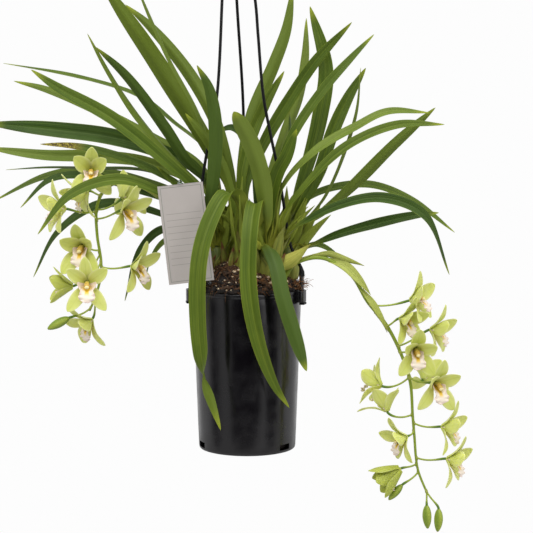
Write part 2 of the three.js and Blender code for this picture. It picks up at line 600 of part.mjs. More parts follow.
// Hook: a hub over the strands, a neck, and three quarters of a ring that is open to one side.
function hookGeometry() {
  const [x, y] = HUB.at;
  const hubTop = HUB.bottom + HUB.height;
  const ring = HOOK_INNER_RADIUS + HOOK_WIRE_RADIUS;
  const middle = hubTop + HOOK_NECK + ring;
  const hub = new THREE.CylinderGeometry(HUB.radius * 0.6, HUB.radius, HUB.height, 16);
  hub.rotateX(Math.PI / 2).translate(x, y, HUB.bottom + HUB.height / 2);
  const arc = HOOK_ARC.map((angle) => [
    x + ring * Math.cos(turned(angle)),
    y,
    middle + ring * Math.sin(turned(angle)),
  ]);
  const neck = [[x, y, hubTop - 2], [x, y, hubTop + 8], [x - ring * 0.45, y, middle - ring * 1.05]];
  const wire = rod([...neck, ...arc], HOOK_WIRE_RADIUS, 8, 20);
  return toGeometry(toSolid(hub).add(toSolid(wire)));
}

function hookSeatHeight() {
  return HUB.bottom + HUB.height + HOOK_NECK + 2 * HOOK_INNER_RADIUS + HOOK_WIRE_RADIUS;
}

// Label: a plain card, leaning a little to the left.
function labelGeometry() {
  const card = new THREE.BoxGeometry(LABEL.width, LABEL.thick, LABEL.height);
  return card.rotateY(turned(-LABEL.tilt)).translate(...LABEL.centre);
}

// Stake: a clear strip from the growing medium up the back of the label, hooked over its top edge.
function stakeGeometry(margin = 0) {
  const [x, y, z] = LABEL.centre;
  const lean = turned(LABEL.tilt);
  const behind = y + LABEL.thick / 2 + SEAT_GAP + STAKE.thick / 2;
  const above = (LABEL.height + STAKE.head - 1) / 2 + SEAT_GAP;
  const over = [x - above * Math.sin(lean), behind, z + above * Math.cos(lean)];
  const low = [STAKE.low[0], behind + 0.8, STAKE.low[1]];
  const halfway = low.map((v, i) => (v + over[i]) / 2);
  const [footX, footY, footZ] = STAKE_FOOT[0];
  const deeper = margin ? [[footX, footY, footZ - margin]] : [];
  const route = [...deeper, ...STAKE_FOOT, low, halfway, over];
  const half = (thickness) => () => thickness / 2 + margin;
  const across = () => vec([1, 0, 0]);
  const strip = bentAlong(route, FLAT_SIDES, 14, half(STAKE.width), half(STAKE.thick), across);
  const head = new THREE.BoxGeometry(STAKE.head, STAKE.headDepth, STAKE.head - 1).rotateY(-lean);
  head.translate(over[0], behind - 1.6, over[2]);
  return margin ? strip : toGeometry(toSolid(strip).add(toSolid(head)));
}

function finish(color, roughness) {
  return new THREE.MeshStandardMaterial({ color, roughness, metalness: 0 });
}

const FINISHES = {
  pot: finish(0x1b1a1e, 0.32),
  medium: finish(0x4a3424, 0.95),
  bulb: finish(0x9aa04a, 0.6),
  leaf: finish(0x4f7a28, 0.45),
  spray: finish(0xbfcf6a, 0.5),
  hanger: finish(0x141416, 0.4),
  label: finish(0xc4b9b6, 0.7),
  stake: finish(0xe4e8ea, 0.15),
};

const plant = new THREE.Group();

function addPiece(name, geometry, material) {
  const mesh = new THREE.Mesh(geometry, material);
  mesh.name = name;
  plant.add(mesh);
}

addPiece("pot", potGeometry(), FINISHES.pot);
addPiece("growing_medium", soilGeometry(), FINISHES.medium);
for (const [name, shoot] of Object.entries(SHOOTS)) {
  addPiece(`bulb_${name}`, bulbGeometry(shoot.at), FINISHES.bulb);
  for (const [leafName, rank, width, blade, points] of LEAVES[name]) {
    addPiece(leafName, leafGeometry(shoot, rank, width, blade, points), FINISHES.leaf);
  }
}
for (const [name, spray] of Object.entries(SPRAYS)) addPiece(name, sprayGeometry(spray), FINISHES.spray);
for (const side of Object.keys(EAR_ANGLES)) {
  addPiece(`hanger_strand_${side}`, strandGeometry(side), FINISHES.hanger);
}
addPiece("hanger_hook", hookGeometry(), FINISHES.hanger);
addPiece("label_card", labelGeometry(), FINISHES.label);
addPiece("label_stake", stakeGeometry(), FINISHES.stake);

plant.position.set(-HUB.at[0], -HUB.at[1], -hookSeatHeight());

export default plant;
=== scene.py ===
"""The looks of a boat orchid in a tall hanging pot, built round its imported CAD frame.

Each class below is one sub-assembly of the plant. It holds its sizes in millimetres, measured from the
middle of the pot's underside with the viewer on the -Y side, as the CAD source does, and it builds its
meshes as numpy surfaces. The call to in_frame() takes them to metres in the frame of the CAD model.
"""

import json
import logging
import math
from abc import ABC, abstractmethod
from dataclasses import dataclass, field, replace
from enum import Enum, IntEnum
from typing import Callable, Iterable, Sequence, Union

import bpy
import numpy as np
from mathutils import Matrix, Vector


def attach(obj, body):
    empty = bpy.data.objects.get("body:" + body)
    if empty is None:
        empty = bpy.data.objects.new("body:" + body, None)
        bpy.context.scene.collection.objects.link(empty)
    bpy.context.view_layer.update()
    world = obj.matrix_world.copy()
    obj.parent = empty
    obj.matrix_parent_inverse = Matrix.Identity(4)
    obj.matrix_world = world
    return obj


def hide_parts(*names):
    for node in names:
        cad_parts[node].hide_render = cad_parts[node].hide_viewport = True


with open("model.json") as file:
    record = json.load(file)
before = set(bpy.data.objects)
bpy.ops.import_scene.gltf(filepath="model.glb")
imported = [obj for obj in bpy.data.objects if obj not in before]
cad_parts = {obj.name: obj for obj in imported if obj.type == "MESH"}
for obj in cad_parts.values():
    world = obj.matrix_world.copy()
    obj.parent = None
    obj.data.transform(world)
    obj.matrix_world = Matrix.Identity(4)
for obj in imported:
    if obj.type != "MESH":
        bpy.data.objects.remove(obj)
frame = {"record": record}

log = logging.getLogger("orchid")

MM = 0.001
BASE_MOUNT_TO_AXIS = 30.0  # the flat mount under the pot lies this far from the pot's axis
MOUNTS = {mount["name"]: np.array(mount["pos_m"]) for mount in frame["record"]["mounts"]}
POT_FOOT = MOUNTS["pot_base"] - np.array([BASE_MOUNT_TO_AXIS * MM, 0.0, 0.0])
STEM_END = 0.3  # a round stem closes over this length at each end
STEM_END_DROP = 0.75  # and loses this share of its squared radius there

Colour = tuple[float, float, float]
Point = tuple[float, float, float]
Marks = dict[str, np.ndarray]
Numbers = Union[float, np.ndarray]
Socket = bpy.types.NodeSocket
Reading = Union[Socket, float]
Paint = Union[Socket, Colour]
Inputs = dict[str, object]


def srgb(red: int, green: int, blue: int) -> Colour:
    """The linear colour of three display values from 0 to 255, by the sRGB curve."""
    share = np.array([red, green, blue]) / 255
    return tuple(np.where(share <= 0.04045, share / 12.92, ((share + 0.055) / 1.055) ** 2.4).tolist())


def in_frame(points: np.ndarray) -> np.ndarray:
    """Points in pot millimetres as metres in the CAD model's frame."""
    return points * MM + POT_FOOT


def unit(vectors: np.ndarray) -> np.ndarray:
    """Vectors along the last axis brought to length 1."""
    return vectors / np.maximum(np.linalg.norm(vectors, axis=-1, keepdims=True), 1e-9)


def smooth(low: float, high: float, value: np.ndarray) -> np.ndarray:
    """A smooth step from 0 below low to 1 above high: 3x^2 - 2x^3 of the share x between them."""
    share = np.clip((value - low) / (high - low), 0, 1)
    return share * share * (3 - 2 * share)


def mixed(start: float, end: float, share: np.ndarray) -> np.ndarray:
    """The value a share of the way from start to end."""
    return start + (end - start) * share


def ring_angles(points: int) -> np.ndarray:
    """The angles of a ring's points, even round the full turn."""
    return np.linspace(0, 2 * np.pi, points, endpoint=False)


def flat_turn(degrees: float) -> tuple[np.ndarray, np.ndarray]:
    """Level directions: the one at an angle from +X, and the one a quarter turn further."""
    cos, sin = math.cos(math.radians(degrees)), math.sin(math.radians(degrees))
    return np.array([cos, sin, 0.0]), np.array([-sin, cos, 0.0])


# ---------------------------------------------------------------- surfaces


@dataclass
class Surface:
    """A closed mesh in the making.

    Attributes:
        points: one row of x, y, z for each vertex, in pot millimetres.
        quads: one row of four vertex numbers for each four-sided face.
        triangles: one row of three vertex numbers for each three-sided face.
        marks: values kept for each vertex, by name; across and along also become the UV map.
        finish: which of the piece's materials the faces take.
    """

    points: np.ndarray
    quads: np.ndarray
    triangles: np.ndarray
    marks: Marks = field(default_factory=dict)
    finish: int = 0

    def facing_out(self) -> "Surface":
        """Turns the faces outward, told by the sign of the surface's volume.

        The volume is the sum over triangles of the corner a dotted with b cross c, over six.

        Returns:
            The same surface, or one with every face turned round.
        """
        fans = [self.triangles, self.quads[:, [0, 1, 2]], self.quads[:, [0, 2, 3]]]
        a, b, c = (self.points[np.concatenate([f[:, k] for f in fans])] for k in range(3))
        if np.einsum("ij,ij->i", a, np.cross(b, c)).sum() >= 0:
            return self
        return replace(self, quads=self.quads[:, ::-1], triangles=self.triangles[:, ::-1])

    def placed(self, turn: np.ndarray, at: np.ndarray, scale: float = 1.0) -> "Surface":
        """The surface turned so that its x, y and z run along turn's columns, scaled and moved to at."""
        return replace(self, points=scale * self.points @ turn.T + at)

    def marked(self, **values: float) -> "Surface":
        """The surface with extra marks, each of them the same on every vertex."""
        extra = {k: np.full(len(self.points), float(v)) for k, v in values.items()}
        return replace(self, marks=self.marks | extra)


def skin(grid: np.ndarray, marks: Marks | None = None, finish: int = 0) -> Surface:
    """Closes a grid of rings into a surface with a pole at each end.

    Ring i, point j joins ring i + 1 and point j + 1, and the points of a ring close on themselves. Each
    pole is the mean of its end ring.

    Args:
        grid: rings by points by x, y, z.
        marks: values for each grid point, by name.
        finish: the surface's material number.

    Returns:
        The closed surface, with its faces pointing out.
    """
    rings, around = grid.shape[:2]
    number = np.arange(rings * around).reshape(rings, around)
    nearer, further = number[:-1], number[1:]
    quads = np.stack([nearer, np.roll(nearer, -1, 1), np.roll(further, -1, 1), further], -1).reshape(-1, 4)
    first, last = rings * around, rings * around + 1
    start = np.stack([np.roll(number[0], -1), number[0], np.full(around, first)], -1)
    end = np.stack([number[-1], np.roll(number[-1], -1), np.full(around, last)], -1)
    points = np.vstack([grid.reshape(-1, 3), grid[0].mean(0), grid[-1].mean(0)])
    kept = {k: np.r_[v.reshape(-1), v[0].mean(), v[-1].mean()] for k, v in (marks or {}).items()}
    return Surface(points, quads, np.vstack([start, end]), kept, finish).facing_out()


def thin_skin(middle: np.ndarray, half_thick: np.ndarray, marks: Marks, finish: int = 0) -> Surface:
    """Gives a sheet its thickness and closes it.

    The sheet's normal is the cross product of its two grid directions. The upper face lies half a
    thickness along it and the under face as far behind it; both share the sheet's two long edges. The
    quads of the two faces are split along the same diagonals, so that they can't cross in a twist.

    Args:
        middle: the sheet's middle surface, lengthwise steps by crosswise steps by x, y, z.
        half_thick: half the thickness at each place; it is taken as nothing at the long edges.
        marks: values for each place, by name.
        finish: the surface's material number.

    Returns:
        The closed sheet. The mark under is 0 on its upper face and 1 on its under face.
    """
    lengthwise = np.gradient(middle, axis=0)
    crosswise = np.gradient(middle, axis=1)
    lift = unit(np.cross(lengthwise, crosswise)) * half_thick[..., None]
    lift[:, [0, -1]] = 0
    grid = np.concatenate([middle + lift, (middle - lift)[:, -2:0:-1]], axis=1)
    under = np.zeros(middle.shape[:2])
    every = {"under": (under, under + 1)} | {k: (v, v) for k, v in marks.items()}
    joined = {k: np.concatenate([top, low[:, -2:0:-1]], axis=1) for k, (top, low) in every.items()}
    closed = skin(grid, joined, finish)
    quads = closed.quads.reshape(len(middle) - 1, -1, 4)
    quads[:, middle.shape[1] - 1:] = np.roll(quads[:, middle.shape[1] - 1:], 1, -1)
    closed.quads = quads.reshape(-1, 4)
    return closed


def sheet_grid(steps: int, columns: int) -> tuple[np.ndarray, np.ndarray]:
    """The places of a sheet's points.

    Along the sheet, t goes from 0 to 1 as 0.6 x + 0.4 sin(pi x / 2), which gathers toward its end. Across
    it, s goes from -1 to 1 as a sine, which gathers toward both edges.

    Args:
        steps: points along the sheet.
        columns: points across it.

    Returns:
        t and s at every point.
    """
    even = np.linspace(0, 1, steps)
    t = 0.6 * even + 0.4 * np.sin(np.pi / 2 * even)
    s = np.sin(np.pi / 2 * np.linspace(-1, 1, columns))
    return np.meshgrid(t, s, indexing="ij")


def sheet_marks(t: np.ndarray, s: np.ndarray, **same: float) -> Marks:
    """A sheet's marks: across and along by its grid, and each named value the same all over."""
    return {"across": (s + 1) / 2, "along": t} | {k: np.full(s.shape, float(v)) for k, v in same.items()}


def ball(rings: int, points: int, margin: float) -> np.ndarray:
    """A unit ball: at angle a from its top and b round it, (sin a cos b, sin a sin b, cos a).

    Args:
        rings: how many rings it has.
        points: points round each ring.
        margin: the angle between each pole and its nearest ring.

    Returns:
        Rings by points by x, y, z.
    """
    down, turn = np.linspace(margin, np.pi - margin, rings)[:, None], ring_angles(points)[None]
    return np.stack([np.sin(down) * np.cos(turn), np.sin(down) * np.sin(turn), np.cos(down) + 0 * turn], -1)


def lathed(radius: np.ndarray, height: np.ndarray, turn: np.ndarray) -> np.ndarray:
    """A turned grid: each radius carried round by the cosine and sine of the turn, at its height."""
    return np.stack(np.broadcast_arrays(radius * np.cos(turn), radius * np.sin(turn), height), -1)


class Route:
    """A centripetal Catmull-Rom curve through given points, measured by its length."""

    SAMPLES = 40
    NEAR = 0.004

    def __init__(self, points: Sequence[Sequence[float]]) -> None:
        """Lays the curve.

        Between points b and c, with a before and d after, the knots are the square roots of the
        distances, and the cubic through b and c takes its slopes from the neighbouring knots.

        Args:
            points: the places that the curve passes, in order.
        """
        p = np.array(points, float)
        p = np.vstack([2 * p[0] - p[1], p, 2 * p[-1] - p[-2]])
        a, b, c, d = p[:-3], p[1:-2], p[2:-1], p[3:]
        knots = [np.sqrt(np.linalg.norm(y - x, axis=1, keepdims=True)) for x, y in ((a, b), (b, c), (c, d))]
        start = ((b - a) / knots[0] - (c - a) / (knots[0] + knots[1]) + (c - b) / knots[1]) * knots[1]
        end = ((c - b) / knots[1] - (d - b) / (knots[1] + knots[2]) + (d - c) / knots[2]) * knots[1]
        t = np.linspace(0, 1, self.SAMPLES, endpoint=False)[None, :, None]
        b, c, start, end = (x[:, None] for x in (b, c, start, end))
        inside = b + start * t + (3 * (c - b) - 2 * start - end) * t**2 + (2 * (b - c) + start + end) * t**3
        self.line = np.vstack([inside.reshape(-1, 3), p[-2]])
        self.reach = np.r_[0, np.cumsum(np.linalg.norm(np.diff(self.line, axis=0), axis=1))]
        self.length = float(self.reach[-1])

    def at(self, share: np.ndarray) -> np.ndarray:
        """The places at shares of the curve's length."""
        return np.stack([np.interp(share * self.length, self.reach, self.line[:, k]) for k in range(3)], -1)

    def along(self, share: np.ndarray) -> np.ndarray:
        """The curve's direction at shares of its length, taken from just before to just after."""
        return unit(self.at(np.clip(share + self.NEAR, 0, 1)) - self.at(np.clip(share - self.NEAR, 0, 1)))

    def frames(self, share: np.ndarray, upright: Point = (0, 1, 0)) -> tuple[np.ndarray, ...]:
        """The curve's places and the directions along and across it.

        Args:
            share: shares of the curve's length.
            upright: the guide for the first cross direction, which is it less its part along the curve.

        Returns:
            Places, directions along, first cross directions, and along crossed with those.
        """
        along = self.along(share)
        guide = np.broadcast_to(np.array(upright, float), along.shape)
        first = unit(guide - np.sum(guide * along, -1, keepdims=True) * along)
        return self.at(share), along, first, np.cross(along, first)


def tube(
    route: Route, radius: Callable[[np.ndarray], np.ndarray], steps: int, around: int, finish: int = 0,
    upright: Point = (0, 1, 0), flat: float = 1.0,
) -> Surface:
    """A round stem along a route, with eased ends.

    Each ring is a circle of the radius at that share, across the route, and flat scales it along the
    second cross direction. At a distance e from an end, less than 0.3 mm, the radius is multiplied by
    sqrt(1 - 0.75 (1 - e / 0.3)^2).

    Args:
        route: the middle line.
        radius: the radius in millimetres at shares of the length.
        steps: rings along the route.
        around: points round each ring.
        finish: the surface's material number.
        upright: a direction that the ring's first point turns toward.
        flat: the ring's height as a share of its width.

    Returns:
        The closed stem, with the marks across and along.
    """
    closing = STEM_END / route.length
    share = np.unique(np.r_[np.linspace(0, 1, steps), closing, 1 - closing])
    at, _, first, second = route.frames(share, upright)
    inside = np.clip(np.minimum(share, 1 - share) / closing, 0, 1)
    size = (radius(share) * np.sqrt(1 - STEM_END_DROP * (1 - inside) ** 2))[:, None, None]
    turn = ring_angles(around)[None, :, None]
    ring = np.cos(turn) * first[:, None] + flat * np.sin(turn) * second[:, None]
    along = np.repeat(share[:, None], around, 1)
    across = np.repeat(np.linspace(0, 1, around)[None], len(share), 0)
    return skin(at[:, None] + size * ring, {"along": along, "across": across}, finish)


def rounded_bar(
    route: Route, width: float, thick: float, corner: float, steps: int, finish: int = 0,
    wide: Point = (1, 0, 0),
) -> Surface:
    """A flat bar with rounded edges along a route.

    A ring is a rectangle with quarter circles of the corner radius, and the rings shrink by that radius
    over the last corner's length at both ends.

    Args:
        route: the bar's middle line.
        width: its size along the wide direction.
        thick: its size across that.
        corner: the radius of its edges.
        steps: rings along the route.
        finish: the surface's material number.
        wide: the direction that the width lies along.

    Returns:
        The closed bar.
    """
    margin = corner / route.length
    near_end = margin * np.array([0.3, 1])
    share = np.unique(np.r_[np.linspace(0, 1, steps), near_end, 1 - near_end])
    at, _, first, second = route.frames(share, wide)
    inset = np.clip(1 - np.minimum(share, 1 - share) / margin, 0, 1)
    shrink = corner * (1 - np.sqrt(1 - inset**2))
    turn = np.linspace(0, np.pi / 2, 4) + np.arange(4)[:, None] * np.pi / 2
    x = (np.array([[1], [-1], [-1], [1]]) * (width / 2 - corner) + corner * np.cos(turn)).ravel()
    y = (np.array([[1], [1], [-1], [-1]]) * (thick / 2 - corner) + corner * np.sin(turn)).ravel()
    x, y = (v[None] - np.sign(v)[None] * shrink[:, None] for v in (x, y))
    grid = at[:, None] + x[..., None] * first[:, None] + y[..., None] * second[:, None]
    return skin(grid, {"along": np.repeat(share[:, None], x.shape[1], 1), "across": 0.5 + x / width}, finish)


def make_piece(
    name: str, surfaces: Iterable[Surface], finishes: Sequence["Finish"], node: str,
    sharp_over: float = 80.0,
) -> None:
    """Joins surfaces into one object that rides on the plant's only body.

    Args:
        name: the piece's name.
        surfaces: the closed surfaces that the piece holds.
        finishes: its finishes, in the order that the surfaces number them.
        node: the CAD node that it stands for.
        sharp_over: edges that turn by more than this many degrees stay sharp.
    """
    surfaces = list(surfaces)
    starts = np.cumsum([0] + [len(s.points) for s in surfaces])
    points = in_frame(np.vstack([s.points for s in surfaces]))
    faces, finish = [], []
    for start, surface in zip(starts, surfaces):
        for part in (surface.quads, surface.triangles):
            faces += (part + start).tolist()
            finish += [surface.finish] * len(part)
    mesh = bpy.data.meshes.new(name)
    mesh.from_pydata(points.tolist(), [], faces)
    mesh.polygons.foreach_set("material_index", finish)
    for look in finishes:
        mesh.materials.append(look.build())
    names = sorted({k for s in surfaces for k in s.marks})
    marks = {k: np.concatenate([s.marks.get(k, np.zeros(len(s.points))) for s in surfaces]) for k in names}
    if "across" in marks and "along" in marks:
        corner = np.empty(len(mesh.loops), np.int32)
        mesh.loops.foreach_get("vertex_index", corner)
        places = np.stack([marks.pop("across"), marks.pop("along")], -1)[corner]
        mesh.uv_layers.new(name="Surface").data.foreach_set("uv", places.astype(np.float32).ravel())
    for key, values in marks.items():
        mesh.attributes.new(key, "FLOAT", "POINT").data.foreach_set("value", values.astype(np.float32))
    mesh.shade_smooth()
    mesh.set_sharp_from_angle(angle=math.radians(sharp_over))
    mesh.validate()
    piece = bpy.data.objects.new(name, mesh)
    bpy.context.scene.collection.objects.link(piece)
    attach(piece, "root")
    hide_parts(node)
    log.info("%s: %d faces, stands for %s", name, len(faces), node)


# ---------------------------------------------------------------- shader building


class Shader:
    """Adds nodes to a material's or a group's tree by short calls."""

    def __init__(self, tree: bpy.types.NodeTree) -> None:
        """Works on one node tree."""
        self.tree = tree

    def feed(self, socket: Socket, value: object) -> None:
        """Gives a socket what it reads.

        Args:
            socket: the input socket.
            value: another socket, to link; or a value, to set, where a colour gets its alpha of 1.
        """
        if isinstance(value, bpy.types.NodeSocket):
            self.tree.links.new(value, socket)
        elif socket.type == "RGBA":
            socket.default_value = (*value, 1.0)
        else:
            socket.default_value = value

    def node(self, kind: str, inputs: dict | None = None, **settings: object) -> bpy.types.Node:
        """Adds a node.

        Args:
            kind: the node's Blender type.
            inputs: what its input sockets read, by name or number.
            settings: its own properties.

        Returns:
            The new node.
        """
        node = self.tree.nodes.new(kind)
        for key, value in settings.items():
            setattr(node, key, value)
        for key, value in (inputs or {}).items():
            self.feed(node.inputs[key], value)
        return node

    def math(self, operation: str, first: Reading, second: Reading = 0.0, third: Reading = 0.0) -> Socket:
        """The result of one Math node."""
        return self.node("ShaderNodeMath", {0: first, 1: second, 2: third}, operation=operation).outputs[0]

    def times(self, first: Reading, second: Reading) -> Socket:
        """Two values multiplied."""
        return self.math("MULTIPLY", first, second)

    def aside(self, across: Reading) -> Socket:
        """The distance from the middle of 0 to 1, which is from 0 to 0.5."""
        return self.math("ABSOLUTE", self.math("SUBTRACT", across, 0.5))

    def mix(self, share: Reading, low: Paint, high: Paint) -> Socket:
        """A colour that goes from low to high with share; 6, 7 and 2 are the node's colour sockets."""
        return self.node("ShaderNodeMix", {0: share, 6: low, 7: high}, data_type="RGBA").outputs[2]

    def tint(self, colour: Paint, other: Paint, share: Reading, strength: Reading) -> Socket:
        """A colour moved toward another by a share times a strength."""
        return self.mix(self.times(share, strength), colour, other)

    def step(self, value: Reading, low: float, high: float) -> Socket:
        """0 below low, 1 above high and a smooth rise between them; it falls if low is above high."""
        inputs = {"Value": value, "From Min": low, "From Max": high}
        return self.node("ShaderNodeMapRange", inputs, interpolation_type="SMOOTHSTEP").outputs["Result"]

    def between(self, value: Reading, low: float, high: float) -> Socket:
        """A value from 0 to 1 stretched to run from low to high."""
        inputs = {"Value": value, "To Min": low, "To Max": high}
        return self.node("ShaderNodeMapRange", inputs).outputs["Result"]

    def noise(self, place: Socket, scale: Reading, detail: float = 2.0) -> Socket:
        """A Noise texture's value."""
        return self.node("ShaderNodeTexNoise", {"Vector": place, "Scale": scale, "Detail": detail}).outputs[0]

    def place(self) -> Socket:
        """Object coordinates, in metres."""
        return self.node("ShaderNodeTexCoord").outputs["Object"]

    def surface(self) -> tuple[Socket, Socket]:
        """The piece's own UV map as across and along, each from 0 to 1."""
        uv = self.node("ShaderNodeUVMap", uv_map="Surface").outputs[0]
        return tuple(self.node("ShaderNodeSeparateXYZ", {0: uv}).outputs)[:2]

    def mark(self, name: str) -> Socket:
        """A value that the mesh keeps at each vertex."""
        return self.node("ShaderNodeAttribute", attribute_name=name).outputs["Fac"]

    def bump(self, height: Socket, distance: float) -> Socket:
        """A normal bent by a height, where distance is the depth of the relief in metres."""
        inputs = {"Height": height, "Distance": distance, "Strength": 1.0}
        return self.node("ShaderNodeBump", inputs).outputs[0]

    def group(self, tree: bpy.types.NodeTree, **inputs: Reading) -> Socket:
        """The first output of a shared group, with its inputs filled by name."""
        return self.node("ShaderNodeGroup", inputs, node_tree=tree).outputs[0]


def material(name: str, dress: Callable[[Shader], Inputs]) -> bpy.types.Material:
    """A Principled material.

    Args:
        name: the material's name.
        dress: gives, for a shader builder, what each Principled input reads.

    Returns:
        The material, made once and then shared by its name.
    """
    if name in bpy.data.materials:
        return bpy.data.materials[name]
    made = bpy.data.materials.new(name)
    made.use_nodes = True
    made.node_tree.nodes.clear()
    shader = Shader(made.node_tree)
    principled = shader.node("ShaderNodeBsdfPrincipled", dress(shader))
    shader.node("ShaderNodeOutputMaterial", {"Surface": principled.outputs[0]})
    return made


class SharedGroups:
    """The effects that several finishes use, each built once as a node group."""

    @staticmethod
    def _new(name: str, inputs: dict[str, str], output: str) -> tuple:
        """An empty group.

        Args:
            name: the group's name.
            inputs: the kind of each input socket, by name.
            output: the name of its one output.

        Returns:
            The group, its builder, its input sockets and its output node's socket.
        """
        tree = bpy.data.node_groups.new(name, "ShaderNodeTree")
        for key, kind in inputs.items():
            tree.interface.new_socket(key, in_out="INPUT", socket_type=f"NodeSocket{kind}")
        tree.interface.new_socket(output, in_out="OUTPUT", socket_type="NodeSocketFloat")
        shader = Shader(tree)
        given = shader.node("NodeGroupInput").outputs
        return tree, shader, given, shader.node("NodeGroupOutput").inputs[0]

    def __init__(self) -> None:
        """Builds every group."""
        self.streaks = self._streaks()
        self.mottle = self._mottle()
        self.specks = self._specks()
        self.rib = self._rib()

    def _streaks(self) -> bpy.types.NodeTree:
        """Veins that run the length of a surface.

        Returns:
            The group. Its noise is stretched along the surface, and its Streak is 0 to 1.
        """
        sockets = {"Across": "Float", "Along": "Float", "Count": "Float", "Length": "Float", "Seed": "Float"}
        tree, shader, given, out = self._new("long_streaks", sockets, "Streak")
        across = shader.times(given["Across"], given["Count"])
        along = shader.times(given["Along"], given["Length"])
        place = shader.node("ShaderNodeCombineXYZ", {0: across, 1: along, 2: given["Seed"]}).outputs[0]
        shader.feed(out, shader.step(shader.noise(place, 1.0, detail=3.0), 0.32, 0.68))
        return tree

    def _mottle(self) -> bpy.types.NodeTree:
        """Soft uneven patches in object space.

        Returns:
            The group. Its Patch is 0 to 1.
        """
        tree, shader, given, out = self._new("mottle", {"Place": "Vector", "Scale": "Float"}, "Patch")
        shader.feed(out, shader.step(shader.noise(given["Place"], given["Scale"], detail=4.0), 0.3, 0.7))
        return tree

    def _specks(self) -> bpy.types.NodeTree:
        """Round specks at the seeds of a Voronoi texture.

        Returns:
            The group. Its Speck is 1 nearer to a seed than Size and 0 elsewhere, with a soft edge.
        """
        sockets = {"Place": "Vector", "Scale": "Float", "Size": "Float"}
        tree, shader, given, out = self._new("specks", sockets, "Speck")
        cell = {"Vector": given["Place"], "Scale": given["Scale"]}
        distance = shader.node("ShaderNodeTexVoronoi", cell).outputs["Distance"]
        shader.feed(out, shader.step(shader.math("SUBTRACT", given["Size"], distance), 0.0, 0.08))
        return tree

    def _rib(self) -> bpy.types.NodeTree:
        """A line along the middle of a surface.

        Returns:
            The group. Its Rib is 1 on the middle and 0 a share Width away.
        """
        tree, shader, given, out = self._new("middle_rib", {"Across": "Float", "Width": "Float"}, "Rib")
        share = shader.math("DIVIDE", shader.aside(given["Across"]), given["Width"])
        shader.feed(out, shader.step(share, 1.0, 0.0))
        return tree


GROUPS = SharedGroups()


# ---------------------------------------------------------------- finishes


@dataclass(frozen=True)
class Finish(ABC):
    """A material by its name, dressed by each kind of finish in its own way."""

    name: str

    def build(self) -> bpy.types.Material:
        """The material."""
        return material(self.name, self.dress)

    @abstractmethod
    def dress(self, shader: Shader) -> Inputs:
        """Adds the finish's nodes and tells what each Principled input reads."""


@dataclass(frozen=True)
class LeafFinish(Finish):
    """The skin of a strap leaf: parallel veins, a paler under face, a yellow-green foot and a pale tip,
    partly its own yellowing and partly a painted highlight, which is worn on a spotted leaf.

    Its meshes carry across and along as UVs, and the marks under and seed.
    """

    blade: Colour
    deep: Colour
    rib: Colour
    under: Colour
    foot: Colour = srgb(158, 160, 56)
    tip: Colour = srgb(148, 158, 46)
    worn: Colour = srgb(168, 152, 62)
    spots: Colour = srgb(58, 42, 18)
    spotted: bool = False
    roughness: float = 0.47
    relief: float = 0.00012
    shine: float = 0.2

    def dress(self, shader: Shader) -> Inputs:
        """Lays veins, rib, under face, foot and tip over the blade's colour.

        Args:
            shader: builds the material's nodes.

        Returns:
            What each Principled input reads.
        """
        across, along = shader.surface()
        place, seed = shader.place(), shader.mark("seed")
        broad = shader.group(GROUPS.streaks, Across=across, Along=along, Count=10.0, Length=1.3, Seed=seed)
        fine = shader.group(GROUPS.streaks, Across=across, Along=along, Count=38.0, Length=3.0, Seed=seed)
        patch = shader.group(GROUPS.mottle, Place=place, Scale=26.0)
        colour = shader.tint(self.blade, self.deep, broad, strength=0.72)
        colour = shader.tint(colour, self.rib, fine, strength=0.5)
        colour = shader.tint(colour, self.deep, patch, strength=0.35)
        middle = shader.group(GROUPS.rib, Across=across, Width=0.05)
        colour = shader.tint(colour, self.rib, middle, strength=0.45)
        margin = shader.step(shader.aside(across), 0.465, 0.495)
        colour = shader.tint(colour, self.tip, margin, strength=0.45)
        pale = shader.tint(self.under, self.blade, fine, strength=0.35)
        colour = shader.tint(colour, pale, shader.mark("under"), strength=0.85)
        foot = shader.step(along, 0.26, 0.02)
        colour = shader.tint(colour, self.foot, foot, strength=shader.between(broad, 1.0, 0.55))
        # the pale tip: partly the leaf's own yellowing, partly a painted highlight
        colour = shader.tint(colour, self.tip, shader.step(along, 0.92, 0.998), strength=0.8)
        if self.spotted:
            colour = self.aged(shader, colour, along, place)
        height = shader.math("ADD", shader.times(fine, 0.2), broad)
        roughness = shader.between(patch, self.roughness, self.roughness + 0.13)
        return {"Base Color": colour, "Roughness": roughness,
                "Normal": shader.bump(height, self.relief), "Specular IOR Level": self.shine}

    def aged(self, shader: Shader, colour: Socket, along: Socket, place: Socket) -> Socket:
        """Yellows the end of the blade and spots it with dark brown.

        Args:
            shader: builds the material's nodes.
            colour: the blade's colour.
            along: the share of its length.
            place: its object coordinates.

        Returns:
            The aged colour.
        """
        end = shader.step(along, 0.78, 0.88)
        yellow = shader.tint(colour, self.worn, end, strength=0.8)
        spots = shader.step(shader.group(GROUPS.mottle, Place=place, Scale=620.0), 0.3, 0.6)
        return shader.tint(yellow, self.spots, shader.times(spots, end), strength=0.9)


